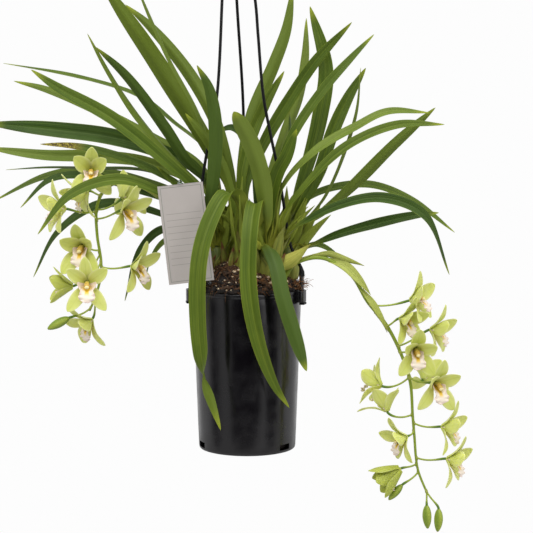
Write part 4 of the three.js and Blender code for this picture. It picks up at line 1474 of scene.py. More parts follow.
LEAVES: dict[str, tuple[Leaf, ...]] = {
    "left_front": (
        Leaf("leaf_left_low_tip", -6, 9, (0, 0.7, 0.6), Tone.MID, (
            (-61, -12, 226), (-85, -14, 228), (-102, -16, 208), (-110, -18, 181))),
        Leaf("leaf_left_hooked", -5, 11, (0, 0.5, 0.8), Tone.DARK_AND_SHADED, (
            (-60, -4, 234), (-91, -2, 238), (-114, -3, 216), (-132, -5, 161))),
        Leaf("leaf_left_over_flowers", -4, 14, (0, 0.5, 0.8), Tone.BRIGHT, (
            (-58, -11, 253), (-72, -19, 267), (-91, -34, 280), (-135, -56, 296), (-183, -70, 281),
            (-217, -76, 241))),
        Leaf("leaf_left_spotted_tip", -3, 11, (0, 0.6, 0.75), Tone.SPOTTED, (
            (-56, -6, 271), (-98, -8, 301), (-153, -10, 322), (-188, -12, 329), (-220, -14, 331))),
        Leaf("leaf_left_broad", -1, 17, (0, 0.3, 0.95), Tone.MID, (
            (-50, -10, 275), (-87, -24, 313), (-142, -36, 359), (-198, -44, 392), (-225, -48, 411))),
        Leaf("leaf_left_small", -2, 8, (0.6, 0.5, 0.5), Tone.BRIGHT, (
            (-50, -16, 262), (-69, -18, 280), (-81, -20, 293), (-96, -22, 308))),
        Leaf("leaf_left_slim", 1, 12, (0.3, 0.9, 0.3), Tone.MID, (
            (-42, 2, 276), (-73, 0, 309), (-116, -6, 360), (-145, -12, 405), (-168, -20, 448))),
        Leaf("leaf_left_upright_slim", 2, 12, (0.4, 0.9, 0), Tone.MID, (
            (-36, -10, 303), (-48, -20, 358), (-81, -30, 423), (-108, -36, 483), (-116, -38, 504))),
        Leaf("leaf_left_twisted", 3, 16, (1, 0.1, 0), Tone.DARK_AND_SHADED, (
            (-38, -34, 261), (-34, -46, 303), (-32, -54, 349), (-38, -60, 390), (-51, -66, 416))),
    ),
    "left_back": (
        Leaf("leaf_far_left_drooping", -6, 13, (0, 0.7, 0.7), Tone.DARK_AND_SHADED, (
            (-73, 24, 240), (-122, 28, 260), (-160, 26, 262), (-206, 22, 232), (-233, 18, 184))),
        Leaf("leaf_far_left_bent", -5, 12, (0, 0.7, 0.7), Tone.DARK_AND_SHADED, (
            (-73, 30, 258), (-126, 34, 279), (-171, 30, 293), (-213, 24, 290), (-246, 18, 260))),
        Leaf("leaf_far_left_long", -4, 14, (0, 0.85, 0.5), Tone.MID, (
            (-68, 40, 266), (-118, 56, 286), (-174, 64, 296), (-225, 68, 289), (-283, 70, 262))),
        Leaf("leaf_far_left_edge_on", -3, 12, (0, 1, 0.1), Tone.DARK_AND_SHADED, (
            (-62, 30, 276), (-107, 38, 297), (-167, 42, 300), (-216, 46, 301), (-265, 48, 299))),
        Leaf("leaf_far_left_pale", -2, 16, (0, 0.4, 0.9), Tone.PALE, (
            (-57, 44, 282), (-108, 70, 304), (-165, 88, 310), (-228, 102, 311), (-295, 112, 319))),
        Leaf("leaf_far_left_dark", -1, 21, (0, 0.4, 0.9), Tone.DARK_AND_SHADED, (
            (-54, 26, 298), (-100, 27, 322), (-150, 26, 336), (-204, 28, 343), (-284, 30, 351))),
        Leaf("leaf_far_left_behind", 1, 13, (0, 0.5, 0.85), Tone.MID, (
            (-46, 40, 298), (-107, 56, 336), (-174, 70, 368), (-225, 78, 387), (-259, 82, 395))),
    ),
    "middle_back": (
        Leaf("leaf_back_left_slim", -4, 14, (0, 0.97, 0.25), Tone.MID, (
            (-40, 44, 312), (-84, 72, 350), (-123, 96, 377), (-195, 126, 398), (-279, 150, 413))),
        Leaf("leaf_upper_left_dark", -3, 14, (0.5, -0.3, 0.8), Tone.DARK_AND_SHADED, (
            (-36, 14, 282), (-64, 5, 310), (-89, 2, 348), (-129, -2, 403), (-161, -6, 434))),
        Leaf("leaf_upper_left_bright", -2, 22, (0.8, -0.2, 0.5), Tone.BRIGHT, (
            (-24, 20, 290), (-43, 6, 329), (-67, -4, 370), (-108, -10, 435), (-156, -14, 506))),
        Leaf("leaf_upper_left_back", -1, 16, (0.8, -0.2, 0.5), Tone.MID, (
            (-18, 34, 289), (-36, 44, 353), (-64, 56, 403), (-105, 66, 453), (-134, 72, 479))),
        Leaf("leaf_upper_middle", 1, 15, (0.9, 0.2, -0.3), Tone.MID, (
            (-5, 30, 306), (5, 38, 357), (29, 50, 413), (43, 58, 452), (50, 66, 499))),
    ),
    "centre_front": (
        Leaf("leaf_front_left_arching", -4, 20, (1, -0.15, 0), Tone.BRIGHT, (
            (-3, -35, 256), (-11, -46, 277), (-21, -55, 280), (-36, -68, 257), (-48, -78, 217),
            (-50, -82, 150), (-43, -82, 90), (-27, -82, 35)), 2.0, 0.2, (150, 0.72, 0.92)),
        Leaf("leaf_front_folded", -2, 20, (0.97, -0.25, 0), Tone.BRIGHT, (
            (9, -23, 250), (10, -31, 265), (9, -44, 269), (5, -61, 247), (3, -74, 192),
            (12, -78, 133), (29, -78, 84), (45, -78, 58)), 1.9, 0.15),
        Leaf("leaf_centre_bright_tip", -1, 12, (0.8, 0.3, 0.5), Tone.BRIGHT, (
            (-14, -22, 272), (-26, -28, 310), (-41, -36, 336), (-64, -44, 365))),
        Leaf("leaf_centre_right_bright", 1, 14, (0.9, 0.3, -0.4), Tone.BRIGHT, (
            (-7, -6, 292), (3, 2, 335), (21, 6, 376), (40, 8, 408))),
        Leaf("leaf_centre_right_tall", 2, 15, (0.8, 0.4, -0.5), Tone.MID, (
            (-2, 2, 286), (16, 12, 328), (44, 18, 376), (73, 22, 418), (113, 26, 460))),
    ),
    "right_front": (
        Leaf("leaf_front_right_drooping", -3, 17, (1, 0.1, 0), Tone.DARK_AND_SHADED, (
            (16, -30, 224), (22, -44, 226), (31, -60, 208), (38, -72, 176), (49, -76, 140),
            (63, -78, 97)), 3.2, 0.3),
        Leaf("leaf_front_centre_tall", -1, 20, (1, -0.1, 0.1), Tone.PALE, (
            (20, -25, 256), (16, -38, 295), (4, -52, 334), (-13, -64, 368)), 6.0, 0.45),
        Leaf("leaf_centre_pointed", 1, 16, (0.9, -0.2, -0.3), Tone.MID, (
            (26, -16, 272), (34, -20, 303), (43, -25, 320), (53, -30, 348))),
        Leaf("leaf_right_slanting", 2, 12, (0.6, -0.4, -0.6), Tone.MID, (
            (32, 1, 290), (49, 2, 338), (82, 4, 388), (111, 6, 421), (136, 9, 447))),
        Leaf("leaf_right_arching_high", 3, 12, (0, 0.6, 0.8), Tone.PALE, (
            (39, -18, 285), (73, -22, 324), (116, -25, 350), (149, -25, 366), (193, -25, 365))),
        Leaf("leaf_right_arching_front", 4, 12, (0, 0.5, 0.85), Tone.BRIGHT, (
            (40, -28, 254), (63, -40, 289), (105, -46, 330), (157, -50, 353), (207, -52, 354))),
        Leaf("leaf_right_drooping", 5, 13, (0, 0.5, 0.85), Tone.DARK_AND_SHADED, (
            (50, -34, 241), (96, -50, 268), (143, -58, 277), (185, -62, 260), (213, -62, 197))),
    ),
    "right": (
        Leaf("leaf_right_wide", -2, 18, (1, 0.1, 0), Tone.MID, (
            (52, 12, 269), (67, 22, 312), (79, 30, 360), (85, 34, 411), (68, 38, 477))),
        Leaf("leaf_right_stout", -1, 16, (0.9, 0.2, -0.4), Tone.MID, (
            (58, 6, 264), (77, 10, 299), (91, 14, 341), (108, 18, 378), (128, 22, 411))),
        Leaf("leaf_right_narrow", 1, 11, (0.4, 0.9, 0), Tone.MID, (
            (61, -4, 247), (83, -8, 271), (106, -10, 322), (118, -12, 365), (121, -14, 412))),
        Leaf("leaf_right_straight", 2, 14, (0.4, 0.3, -0.8), Tone.MID, (
            (62, 10, 240), (85, 16, 257), (122, 20, 290), (161, 24, 329), (204, 28, 368))),
        Leaf("leaf_right_low_dark", 5, 12, (0, 0.4, 0.9), Tone.DARK_AND_SHADED, (
            (66, -3, 219), (97, -8, 233), (145, -12, 247), (180, -16, 255), (205, -18, 258))),
        Leaf("leaf_right_short", 4, 8, (0, 0.7, 0.7), Tone.MID, (
            (61, 17, 217), (76, 22, 219), (90, 24, 213), (102, 24, 204))),
    ),
    "right_back": (
        Leaf("leaf_back_crossing", -2, 13, (0.3, 0.5, 0.8), Tone.DARK_AND_SHADED, (
            (8, 40, 300), (-3, 50, 334), (-17, 51, 345), (-34, 49, 340))),
        Leaf("leaf_back_tall", 1, 13, (0.9, 0.4, -0.2), Tone.PALE, (
            (25, 34, 289), (41, 48, 337), (57, 60, 378), (64, 70, 420), (65, 78, 464))),
        Leaf("leaf_back_short", 2, 9, (0.5, 0.8, 0), Tone.DARK_AND_SHADED, (
            (32, 26, 279), (43, 30, 311), (47, 30, 338), (46, 32, 366))),
        Leaf("leaf_back_right_arching", 4, 12, (0, 0.7, 0.7), Tone.MID, (
            (50, 34, 254), (79, 46, 274), (134, 58, 281), (182, 64, 263), (230, 66, 228))),
    ),
}

SHOOTS = (
    Shoot("left_front", (-33, -6), 0, (
        Sheath(-4, 62, 0.15), Sheath(4, 66, 0.1), Sheath(-7, 30, 1.0), Sheath(6, 34, 1.0, 1.0),
        Sheath(-6, 44, 0.7), Sheath(4, 76, 0.2), Sheath(-5, 68, 0.25, 0.6)), (
        Flap(((-26, -18, 190), (-24, -22, 206), (-27, -21, 228)), 7, (0.9, 0.2, 0.2), 1.3),
        Flap(((-34, -18, 188), (-38, -23, 200), (-33, -26, 214)), 6, (0.9, 0.3, -0.3), 1.3))),
    Shoot("left_back", (-39, 22), 5, (
        Sheath(-4, 62, 0.15), Sheath(3, 60, 0.1), Sheath(-7, 32, 1.0), Sheath(4, 40, 0.8),
        Sheath(-7, 54, 0.4), Sheath(2, 74, 0.2))),
    Shoot("middle_back", (-11, 24), -5, (
        Sheath(-3, 64, 0.15), Sheath(3, 62, 0.1), Sheath(-5, 30, 1.0), Sheath(3, 44, 0.6),
        Sheath(-5, 66, 0.3), Sheath(2, 80, 0.2))),
    Shoot("centre_front", (-5, -15), 80, (
        Sheath(-3, 70, 0.1), Sheath(3, 60, 0.1), Sheath(-5, 30, 1.0, 1.0), Sheath(4, 36, 1.0),
        Sheath(-6, 58, 0.35), Sheath(4, 76, 0.15)), (
        Flap(((-14, -27, 188), (-17, -30, 204), (-13, -31, 226)), 6, (1, 0.1, 0.1), 1.3),
        Flap(((-8, -28, 190), (-3, -32, 208), (-9, -32, 222)), 5, (0.9, 0.3, -0.2), 1.3))),
    Shoot("right_front", (22, -17), 0, (
        Sheath(4, 60, 0.1), Sheath(-4, 64, 0.1), Sheath(6, 28, 1.0, 1.0), Sheath(-5, 34, 0.8),
        Sheath(6, 48, 0.3), Sheath(-4, 60, 0.15), Sheath(5, 66, 0.1, 0.6)), (
        Flap(((32, -27, 196), (40, -31, 203), (52, -33, 212), (68, -30, 226)), 16,
             (0.62, 0.1, -0.78), 0.15, 22, 3, 1.15),
        Flap(((29, -27, 196), (32, -30, 212), (35, -30, 228), (41, -26, 246)), 12,
             (0.9, 0.2, -0.3), 0.2, 20, 1),
        Flap(((28, -29, 192), (36, -33, 205), (41, -32, 217)), 6, (0.8, 0.2, -0.5), 1.3),
        Flap(((12, -27, 192), (9, -32, 208), (6, -32, 234)), 10, (0.9, 0.1, 0.2), 0.1, 20, 1))),
    Shoot("right", (43, 3), 0, (
        Sheath(3, 60, 0.1), Sheath(-3, 62, 0.1), Sheath(5, 28, 1.0), Sheath(-4, 38, 0.6),
        Sheath(5, 48, 0.3), Sheath(-3, 66, 0.15))),
    Shoot("right_back", (17, 23), 10, (
        Sheath(3, 62, 0.1), Sheath(-3, 62, 0.1), Sheath(4, 30, 1.0), Sheath(-3, 44, 0.6),
        Sheath(4, 60, 0.3), Sheath(-3, 74, 0.2))),
)


# ---------------------------------------------------------------- flowers


class Petalwork(IntEnum):
    """The parts of a flower, by their place in FLOWER_LOOKS."""

    TEPAL = 0
    LIP = 1
    COLUMN = 2
    CAP = 3


def facing(direction: Sequence[float]) -> np.ndarray:
    """The turn whose third column points along a direction, with its second as upright as it can be.

    Args:
        direction: where the third column points.

    Returns:
        Three columns of unit length, square to each other.
    """
    z = unit(np.array(direction, float))
    upright = np.array([0, 1.0, 0]) if abs(z[2]) > 0.95 else np.array([0, 0, 1.0])
    x = unit(np.cross(upright, z))
    return np.stack([x, np.cross(z, x), z], -1)


@dataclass(frozen=True)
class Tepal:
    """One of a flower's five petals and sepals.

    Attributes:
        azimuth: its direction round the flower in degrees, where 90 is up.
        rise: how steeply it starts forward out of the flower's plane, in degrees.
        end: the same at its tip, where less than 0 bends back.
        half_width: half its greatest width.
        length: its length.
        cup: how far its edges curl forward, as a share of half its width.
        start: how far from the flower's middle it starts; the sepals stand outside the petals.

    The other fields are the same for every tepal.
    """

    azimuth: float
    rise: float
    end: float
    half_width: float
    length: float = 29.0
    cup: float = 0.28
    start: float = 2.2

    steps: int = 40
    columns: int = 13
    play: float = 4.0
    foot_share: float = 0.42
    least_half: float = 0.12
    half_thick: float = 0.38
    edge_thins: float = 0.6
    tip_cup: float = 0.3
    ripple: float = 0.05
    ripples: float = 9.0
    twist: float = 0.12

    def surface(self, noise: np.random.Generator) -> Surface:
        """The tepal in its flower's own frame.

        At share t it has gone forward by the running sum of sin(a) and out by that of cos(a), where a goes
        from rise to end. Its half width is w (0.42 + 0.58 smooth(0, 0.5, t)) (1 - ((t - 0.5) / 0.5)^2.2)^0.7.

        Args:
            noise: gives each tepal its own small departures.

        Returns:
            The closed tepal.
        """
        t, s = sheet_grid(self.steps, self.columns)
        share = t[:, 0]
        angle = mixed(self.rise, self.end, smooth(0.0, 0.95, share)) + noise.uniform(-self.play, self.play)
        angle = np.radians(angle)
        step = np.diff(share, prepend=0) * self.length * noise.uniform(0.95, 1.04)
        out = self.start + np.cumsum(np.cos(angle) * step)
        ahead = np.cumsum(np.sin(angle) * step)
        outward, left = flat_turn(self.azimuth + noise.uniform(-self.play, self.play))
        front = np.array([0, 0, 1.0])
        normal = np.cos(angle)[:, None] * front - np.sin(angle)[:, None] * outward
        narrowing = np.clip(1 - np.clip((share - 0.5) / 0.5, 0, 1) ** 2.2, 0, 1) ** 0.7
        full = self.half_width * mixed(self.foot_share, 1.0, smooth(0.0, 0.5, share))
        half = (full * narrowing + self.least_half)[:, None, None]
        cup = self.cup * mixed(1.0, self.tip_cup, t) * s**2
        cup = cup + self.ripple * np.sin(self.ripples * t + noise.uniform(0, 6)) * s
        twist = noise.uniform(-self.twist, self.twist) * t * s
        middle = out[:, None] * outward + ahead[:, None] * front
        grid = middle[:, None] - half * s[..., None] * left
        grid = grid + half * (cup + twist)[..., None] * normal[:, None]
        marks = sheet_marks(t, s, seed=noise.uniform(0, 40))
        return thin_skin(grid, self.half_thick * (1 - self.edge_thins * s**2), marks, Petalwork.TEPAL)


@dataclass(frozen=True)
class Lip:
    """The lip: a trough with two upright side lobes, two yellow ridges and a frilled lobe bent down.

    Its middle passes the places of route. Its half widths and its curls are pairs of a share and a value.
    """

    route: tuple[Point, ...] = (
        (0, -1.2, 0.5), (0, -3.4, 5.5), (0, -5.0, 10.5), (0, -7.4, 14.6), (0, -11.4, 17.0), (0, -15.6, 17.6))
    half_widths: tuple[tuple[float, float], ...] = (
        (0, 2.6), (0.14, 6.4), (0.28, 11.6), (0.38, 12.4), (0.47, 9.6), (0.57, 6.2), (0.66, 7.2),
        (0.78, 8.2), (0.88, 7.0), (0.95, 4.4), (1, 1.2))
    curls: tuple[tuple[float, float], ...] = ((0, 1.5), (0.34, 1.45), (0.5, 0.95), (0.7, 0.2), (1, -0.1))
    tuck: float = 5.0
    ridge: float = 0.9
    ridge_at: float = 0.16
    ridge_width: float = 0.08
    frill: float = 1.3
    frills: float = 38.0
    half_thick: float = 0.35
    steps: int = 30
    columns: int = 17

    def surface(self, noise: np.random.Generator, spread: float) -> Surface:
        """The lip in its flower's own frame.

        A cross line is an arc: at s its place is h sin(c s) / c aside and h (1 - cos(c s)) / c up, for half
        width h and curl c. The side lobes are narrower by 5 mm x (1 - spread), while the petals stand round
        them. Two ridges stand at s = -0.16 and 0.16, and the outer lobe's margin waves.

        Args:
            noise: gives each lip its own wave.
            spread: how far the flower's petals have fallen open.

        Returns:
            The closed lip.
        """
        t, s = sheet_grid(self.steps, self.columns)
        share = t[:, 0]
        at, _, up, _ = Route(self.route).frames(share, (0, 1, 0.2))
        half = np.interp(share, *np.array(self.half_widths).T)[:, None]
        half = half - self.tuck * (1 - spread) * smooth(0.08, 0.28, t) * smooth(0.56, 0.42, t)
        curl = np.interp(share, *np.array(self.curls).T)[:, None] + 0.01
        aside = half * np.sin(curl * s) / curl
        rise = half * (1 - np.cos(curl * s)) / curl
        ridge = np.exp(-(((np.abs(s) - self.ridge_at) / self.ridge_width) ** 2))
        ridge = self.ridge * ridge * smooth(0.1, 0.2, t) * smooth(0.66, 0.56, t)
        wave = np.sin(self.frills * t + noise.uniform(0, 6) + 2 * np.sign(s))
        frill = self.frill * smooth(0.55, 0.7, t) * np.abs(s) ** 2.5 * wave
        grid = at[:, None] + (rise + ridge + frill)[..., None] * up[:, None]
        grid = grid + aside[..., None] * np.array([1.0, 0, 0])
        return thin_skin(grid, np.full(s.shape, self.half_thick), sheet_marks(t, s), Petalwork.LIP)


@dataclass(frozen=True)
class Column:
    """The column that arches over the lip, and the pale cap on its end, a ball stretched to an egg."""

    route: tuple[Point, ...] = (
        (0, -0.4, -0.6), (0, 1.3, 3.5), (0, 1.6, 8.0), (0, 0.0, 12.0), (0, -1.8, 13.8))
    radii: tuple[tuple[float, float], ...] = ((0, 2.0), (0.4, 1.9), (0.75, 2.5), (0.92, 2.7), (1, 2.0))
    flat: float = 0.72
    cap_size: Point = (2.3, 1.7, 1.5)
    cap_at: Point = (0, -1.6, 14.4)

    def radius_at(self, share: np.ndarray) -> np.ndarray:
        """The column's radius at shares of its length."""
        return np.interp(share, *np.array(self.radii).T)

    def surfaces(self) -> list[Surface]:
        """The column and its cap.

        Returns:
            Both, closed, in their flower's own frame.
        """
        cap = skin(ball(9, 14, 0.1) * np.array(self.cap_size) + np.array(self.cap_at), None, Petalwork.CAP)
        column = tube(Route(self.route), self.radius_at, 18, 14, Petalwork.COLUMN, (1, 0, 0), self.flat)
        return [column, cap.marked(shade=0.5)]


@dataclass(frozen=True)
class Bloom:
    """A flower or a bud on its spray.

    Attributes:
        at: where its stalk meets its back.
        facing: the way that it faces.
        scale: its size as a share of a full flower's.
        leaves_at: the height where its stalk leaves the stem.
        closing: how far it is still closed, from 0 open to 1 shut.
        spread: how far its petals have risen and fallen open, from 0 to 1.

    The other fields are the same for every one.
    """

    at: Point
    facing: Point
    scale: float
    leaves_at: float
    closing: float = 0.0
    spread: float = 0.0

    full_size: float = 1.12
    tepals: tuple[Tepal, ...] = (
        Tepal(90, 50, 16, 7.6, 30.5, 0.36), Tepal(30, 62, 44, 8.2, 29.5, 0.4, 1.0),
        Tepal(150, 62, 44, 8.2, 29.5, 0.4, 1.0), Tepal(-50, 42, 0, 8.0, 31.5, 0.3),
        Tepal(230, 42, 0, 8.0, 31.5, 0.3),
    )
    spread_turn: float = 13.0
    spread_fall: float = 18.0
    spread_slim: float = 0.2
    shut_rise: float = 62.0
    shut_end: float = 98.0
    shut_wider: float = 0.25
    bud_length: float = 27.0
    bud_radius: float = 4.9
    bud_seams: float = 0.04
    behind: float = 5.0
    sag: float = 6.0

    def opened(self, part: Tepal) -> Tepal:
        """A tepal as far open as the flower is.

        Closing brings its angles toward the shut ones, and makes it wider and more cupped. Spread turns the
        two petals, which lie at 60 degrees from the top, upward and lets them fall, and slims every tepal.

        Args:
            part: the tepal of a plain open flower.

        Returns:
            The tepal with its own angles and width.
        """
        petal = self.spread * (abs(part.azimuth - 90) == 60)
        rise, end = part.rise - self.spread_fall * petal, part.end - self.spread_fall * petal
        wider = 1 - self.spread_slim * self.spread + self.shut_wider * self.closing
        return replace(
            part, rise=mixed(rise, self.shut_rise, self.closing), end=mixed(end, self.shut_end, self.closing),
            azimuth=part.azimuth + math.copysign(self.spread_turn, 90 - part.azimuth) * petal,
            half_width=part.half_width * wider, cup=part.cup * (1 + self.closing),
            start=part.start * (1 + self.closing),
        )

    def flower(self, seed: int) -> list[Surface]:
        """The open flower.

        Args:
            seed: the seed of its small departures.

        Returns:
            Its tepals, lip, column and cap, in place.
        """
        noise = np.random.default_rng(seed)
        tepals = [self.opened(part).surface(noise).marked(young=self.closing) for part in self.tepals]
        turn, at = facing(self.facing), np.array(self.at, float)
        whole = [*tepals, Lip().surface(noise, self.spread), *Column().surfaces()]
        return [part.placed(turn, at, self.scale * self.full_size) for part in whole]

    def bud(self, seed: int) -> Surface:
        """A closed bud: at share t its radius is r sin(pi t^0.9)^0.6 (1 + 0.04 cos 3 turn), a little bent.

        Args:
            seed: the seed of its bend.

        Returns:
            The closed bud in place, with the mark deep along its three seams.
        """
        t, turn = np.linspace(0.02, 0.98, 26)[:, None], ring_angles(24)[None]
        noise = np.random.default_rng(seed)
        radius = self.bud_radius * np.sin(np.pi * t**0.9) ** 0.6 * (1 + self.bud_seams * np.cos(3 * turn))
        grid = lathed(radius, self.bud_length * t - 1, turn)
        grid[..., 0] += noise.uniform(-1.2, 1.2) * np.sin(np.pi * t)
        marks = {"along": t + 0 * turn, "across": turn / (2 * np.pi) + 0 * t,
                 "deep": 0.5 - 0.5 * np.cos(3 * turn) + 0 * t}
        return skin(grid, marks, 1).placed(facing(self.facing), np.array(self.at, float), self.scale)

    def stalk(self, start: np.ndarray) -> Surface:
        """The stalk: a cubic Bezier curve that sags from the stem and comes up behind the flower.

        Args:
            start: where it leaves the stem.

        Returns:
            The closed stalk, thicker and with the mark deep toward the flower.
        """
        end, ahead = np.array(self.at, float), unit(np.array(self.facing, float))
        reach = float(np.linalg.norm(end - start))
        behind = end - ahead * min(self.behind, reach / 4)
        low = (start + behind) / 2 - np.array([0, 0, min(self.sag, reach / 5)])
        knots = np.array([start, low, behind, end + ahead * 0.8])
        blend = np.linspace(0, 1, 24)[:, None]
        weights = [(1 - blend) ** 3, 3 * blend * (1 - blend) ** 2, 3 * blend**2 * (1 - blend), blend**3]
        route = Route(sum(weight * knot for weight, knot in zip(weights, knots)))
        surface = tube(route, lambda share: 1.0 + 0.4 * smooth(0.5, 0.85, share), 22, 10, 1)
        surface.marks["deep"] = smooth(0.5, 0.9, surface.marks["along"])
        return surface


@dataclass(frozen=True)
class Bract:
    """A pointed sheath on the stem: its place as a share of the stem, its length, spread and direction."""

    share: float
    length: float
    spread: float
    turn: float

    steps: int = 16
    columns: int = 9
    clasp: float = 85.0
    air: float = 0.3
    half_thick: float = 0.25
    dry: float = 0.15

    def surface(self, route: Route, radius: float) -> Surface:
        """The bract: a cone that clasps the stem and opens to a point along it.

        At share t its distance from the stem's middle is the stem's radius plus the air and spread times
        t^1.5, and its cross angle is 85 degrees times s (1 - 0.96 t)^0.7.

        Args:
            route: the stem's middle line.
            radius: the stem's radius there.

        Returns:
            The closed bract.
        """
        t, s = sheet_grid(self.steps, self.columns)
        share = np.clip(self.share + t[:, 0] * self.length / route.length, 0, 1)
        at, _, first, second = route.frames(share, (0, 0.3, 1))
        angle = math.radians(self.turn) + np.radians(self.clasp) * s * (1 - t * 0.96) ** 0.7
        out = radius + self.air + self.spread * t**1.5
        grid = at[:, None] + (out * np.cos(angle))[..., None] * first[:, None]
        grid = grid + (out * np.sin(angle))[..., None] * second[:, None]
        marks = sheet_marks(t, s, seed=self.share * 37, dry=self.dry)
        return thin_skin(grid, self.half_thick * (1 - 0.5 * s**2), marks, 2)


@dataclass(frozen=True)
class Spray:
    """One hanging spray.

    Attributes:
        side: the side of the plant that it hangs on.
        hangs_from: the place on its stem where its hanging part starts.
        stem: the places that its stem passes, from its foot.
        flowers: its open flowers, from the top.
        buds: its closed buds.
        bracts: the pointed sheaths that clasp its stem.
        sheaths: the free blades beside its lower stem.
    """

    side: str
    hangs_from: Point
    stem: tuple[Point, ...]
    flowers: tuple[Bloom, ...]
    buds: tuple[Bloom, ...]
    bracts: tuple[Bract, ...]
    sheaths: tuple[Flap, ...]

    foot_radius: float = 2.5
    tip_radius: float = 1.2
    samples: int = 161

    def radius_at(self, share: Numbers) -> Numbers:
        """The stem's radius at shares of its length."""
        return mixed(self.foot_radius, self.tip_radius, share)

    def start_of(self, route: Route, height: float) -> tuple[np.ndarray, float]:
        """The place on the hanging part of the stem that is nearest to a height.

        Args:
            route: the stem's middle line.
            height: the height.

        Returns:
            The place, and its share of the stem's length.
        """
        share = np.linspace(0, 1, self.samples)
        points = route.at(share)
        first = int(np.argmin(np.linalg.norm(points - np.array(self.hangs_from, float), axis=1)))
        nearest = first + int(np.argmin(np.abs(points[first:, 2] - height)))
        return points[nearest], float(share[nearest])

    def build(self) -> None:
        """Makes the stem with its stalks and bracts, each flower, and the buds."""
        node, name = f"flower_spray_{self.side}", f"spray_{self.side}"
        route = Route(self.stem)
        parts = [tube(route, self.radius_at, 110, 12).marked(deep=0.35)]
        for bloom in (*self.flowers, *self.buds):
            start, share = self.start_of(route, bloom.leaves_at)
            aside = np.degrees(np.arctan2(*((np.array(bloom.at) - start)[[0, 1]])))
            clasp = Bract(share - 0.004, 4.5, 0.2, aside)
            parts += [bloom.stalk(start), clasp.surface(route, float(self.radius_at(share)))]
        parts += [bract.surface(route, self.radius_at(bract.share)) for bract in self.bracts]
        parts += [sheath.surface() for sheath in self.sheaths]
        make_piece(f"{name}_stem", parts, [STEM, STALK, SPRAY_SHEATH], node)
        for number, bloom in enumerate(self.flowers, 1):
            surfaces = bloom.flower(number + 100 * len(self.side))
            make_piece(f"{name}_flower_{number:02d}", surfaces, FLOWER_LOOKS, node)
        buds = [bud.bud(number) for number, bud in enumerate(self.buds)]
        make_piece(f"{name}_buds", buds, [STEM, BUD_SKIN], node)


SPRAYS = (
    Spray("left", (-151, -31, 283), (
        (-42, -14, 172), (-47, -17, 194), (-55, -20, 226), (-72, -22, 252), (-92, -24, 274),
        (-118, -28, 291), (-138, -30, 291), (-151, -31, 283), (-159, -31, 265), (-159, -31, 236),
        (-155, -31, 207), (-156, -31, 189), (-162, -31, 168), (-168, -31, 154),
    ), (
        Bloom((-164, -36, 303), (0.05, -1, 0.1), 0.95, 283, 0.22, 0.6),
        Bloom((-169, -25, 282), (-0.75, -0.3, -0.45), 0.95, 277),
        Bloom((-192, -34, 264), (-0.9, -0.4, 0.05), 0.95, 260),
        Bloom((-131, -38, 263), (0.65, -0.7, -0.2), 1, 253, 0.0, 0.7),
        Bloom((-134, -18, 273), (0.4, 0.7, 0.4), 0.9, 262),
        Bloom((-173, -40, 224), (-0.2, -0.95, -0.1), 1, 219, 0.2, 0.5),
        Bloom((-168, -54, 187), (0.05, -1, -0.05), 1.0, 207, 0.0, 1.0),
        Bloom((-186, -26, 180), (-0.9, -0.2, 0.1), 0.85, 216, 0.45),
        Bloom((-122, -36, 203), (0.8, -0.5, -0.1), 0.95, 202, 0.0, 0.5),
        Bloom((-166, -26, 144), (-0.6, -0.55, -0.5), 0.9, 168),
    ), (
        Bloom((-190, -34, 147), (-0.88, 0, -0.47), 1, 158),
    ), (
        Bract(0.1, 26, 1.0, 200), Bract(0.24, 24, 1.0, 20), Bract(0.38, 22, 1.2, 200),
    ), (
        Flap(((-66, -25, 247), (-80, -27, 265), (-96, -29, 279)), 8, (0.6, 0.3, -0.7), 0.1, 30, 2),
        Flap(((-100, -27, 282), (-116, -30, 293), (-131, -32, 294)), 7, (0.3, 0.5, -0.8), 0.1, 30, 2),
    )),
    Spray("right", (102, -29, 200), (
        (34, -17, 172), (42, -20, 191), (50, -23, 203), (63, -24, 209), (76, -26, 211), (89, -28, 208),
        (112, -30, 192), (129, -31, 164), (149, -31, 139), (164, -31, 110), (175, -31, 77),
        (178, -31, 41), (180, -31, 19), (184, -31, -18), (194, -31, -44),
    ), (
        Bloom((174, -34, 166), (0.88, -0.4, 0.25), 0.95, 161),
        Bloom((163, -44, 148), (0.75, -0.6, -0.15), 0.9, 137, 0.1),
        Bloom((197, -18, 132), (0.92, -0.35, -0.05), 0.95, 116),
        Bloom((178, -50, 116), (0.2, -0.9, -0.2), 0.95, 109, 0.1, 0.3),
        Bloom((190, -18, 77), (0.35, 0.75, 0.55), 0.9, 84),
        Bloom((198, -48, 79), (0.5, -0.85, -0.15), 1, 82, 0.0, 0.5),
        Bloom((145, -22, 71), (-0.75, 0.35, 0.35), 0.9, 83),
        Bloom((150, -36, 46), (-0.25, 0.35, 0.9), 0.9, 42),
        Bloom((209, -34, 29), (0.9, -0.35, -0.05), 0.95, 32),
        Bloom((171, -42, 20), (-0.85, -0.4, -0.25), 0.9, 23),
        Bloom((215, -34, -6), (0.9, -0.4, -0.1), 0.95, -6),
        Bloom((165, -34, -17), (-0.8, -0.1, -0.5), 0.95, -12, 0.75),
    ), (
        Bloom((167, -34, -35), (-0.65, 0, -0.75), 0.85, -21),
        Bloom((194, -32, -58), (0.05, 0, -1), 1, -43),
        Bloom((207, -32, -62), (-0.04, 0, -1), 0.98, -42),
    ), (
        Bract(0.12, 24, 1.2, 0), Bract(0.42, 26, 1.2, 200),
    ), (
        Flap(((70, -26, 212), (86, -30, 214), (104, -33, 209), (125, -34, 203)), 9,
             (0.1, 0.5, -0.9), 0.1, 26, 2),
        Flap(((88, -27, 208), (103, -32, 203), (117, -35, 190), (132, -36, 172)), 11,
             (0.3, 0.4, 0.85), 0.1, 24, 2),
        Flap(((122, -31, 177), (132, -34, 164), (141, -35, 150), (151, -35, 132)), 8,
             (0.7, 0.5, 0.4), 0.1, 30, 2),
    )),
)


# ---------------------------------------------------------------- pot and growing medium


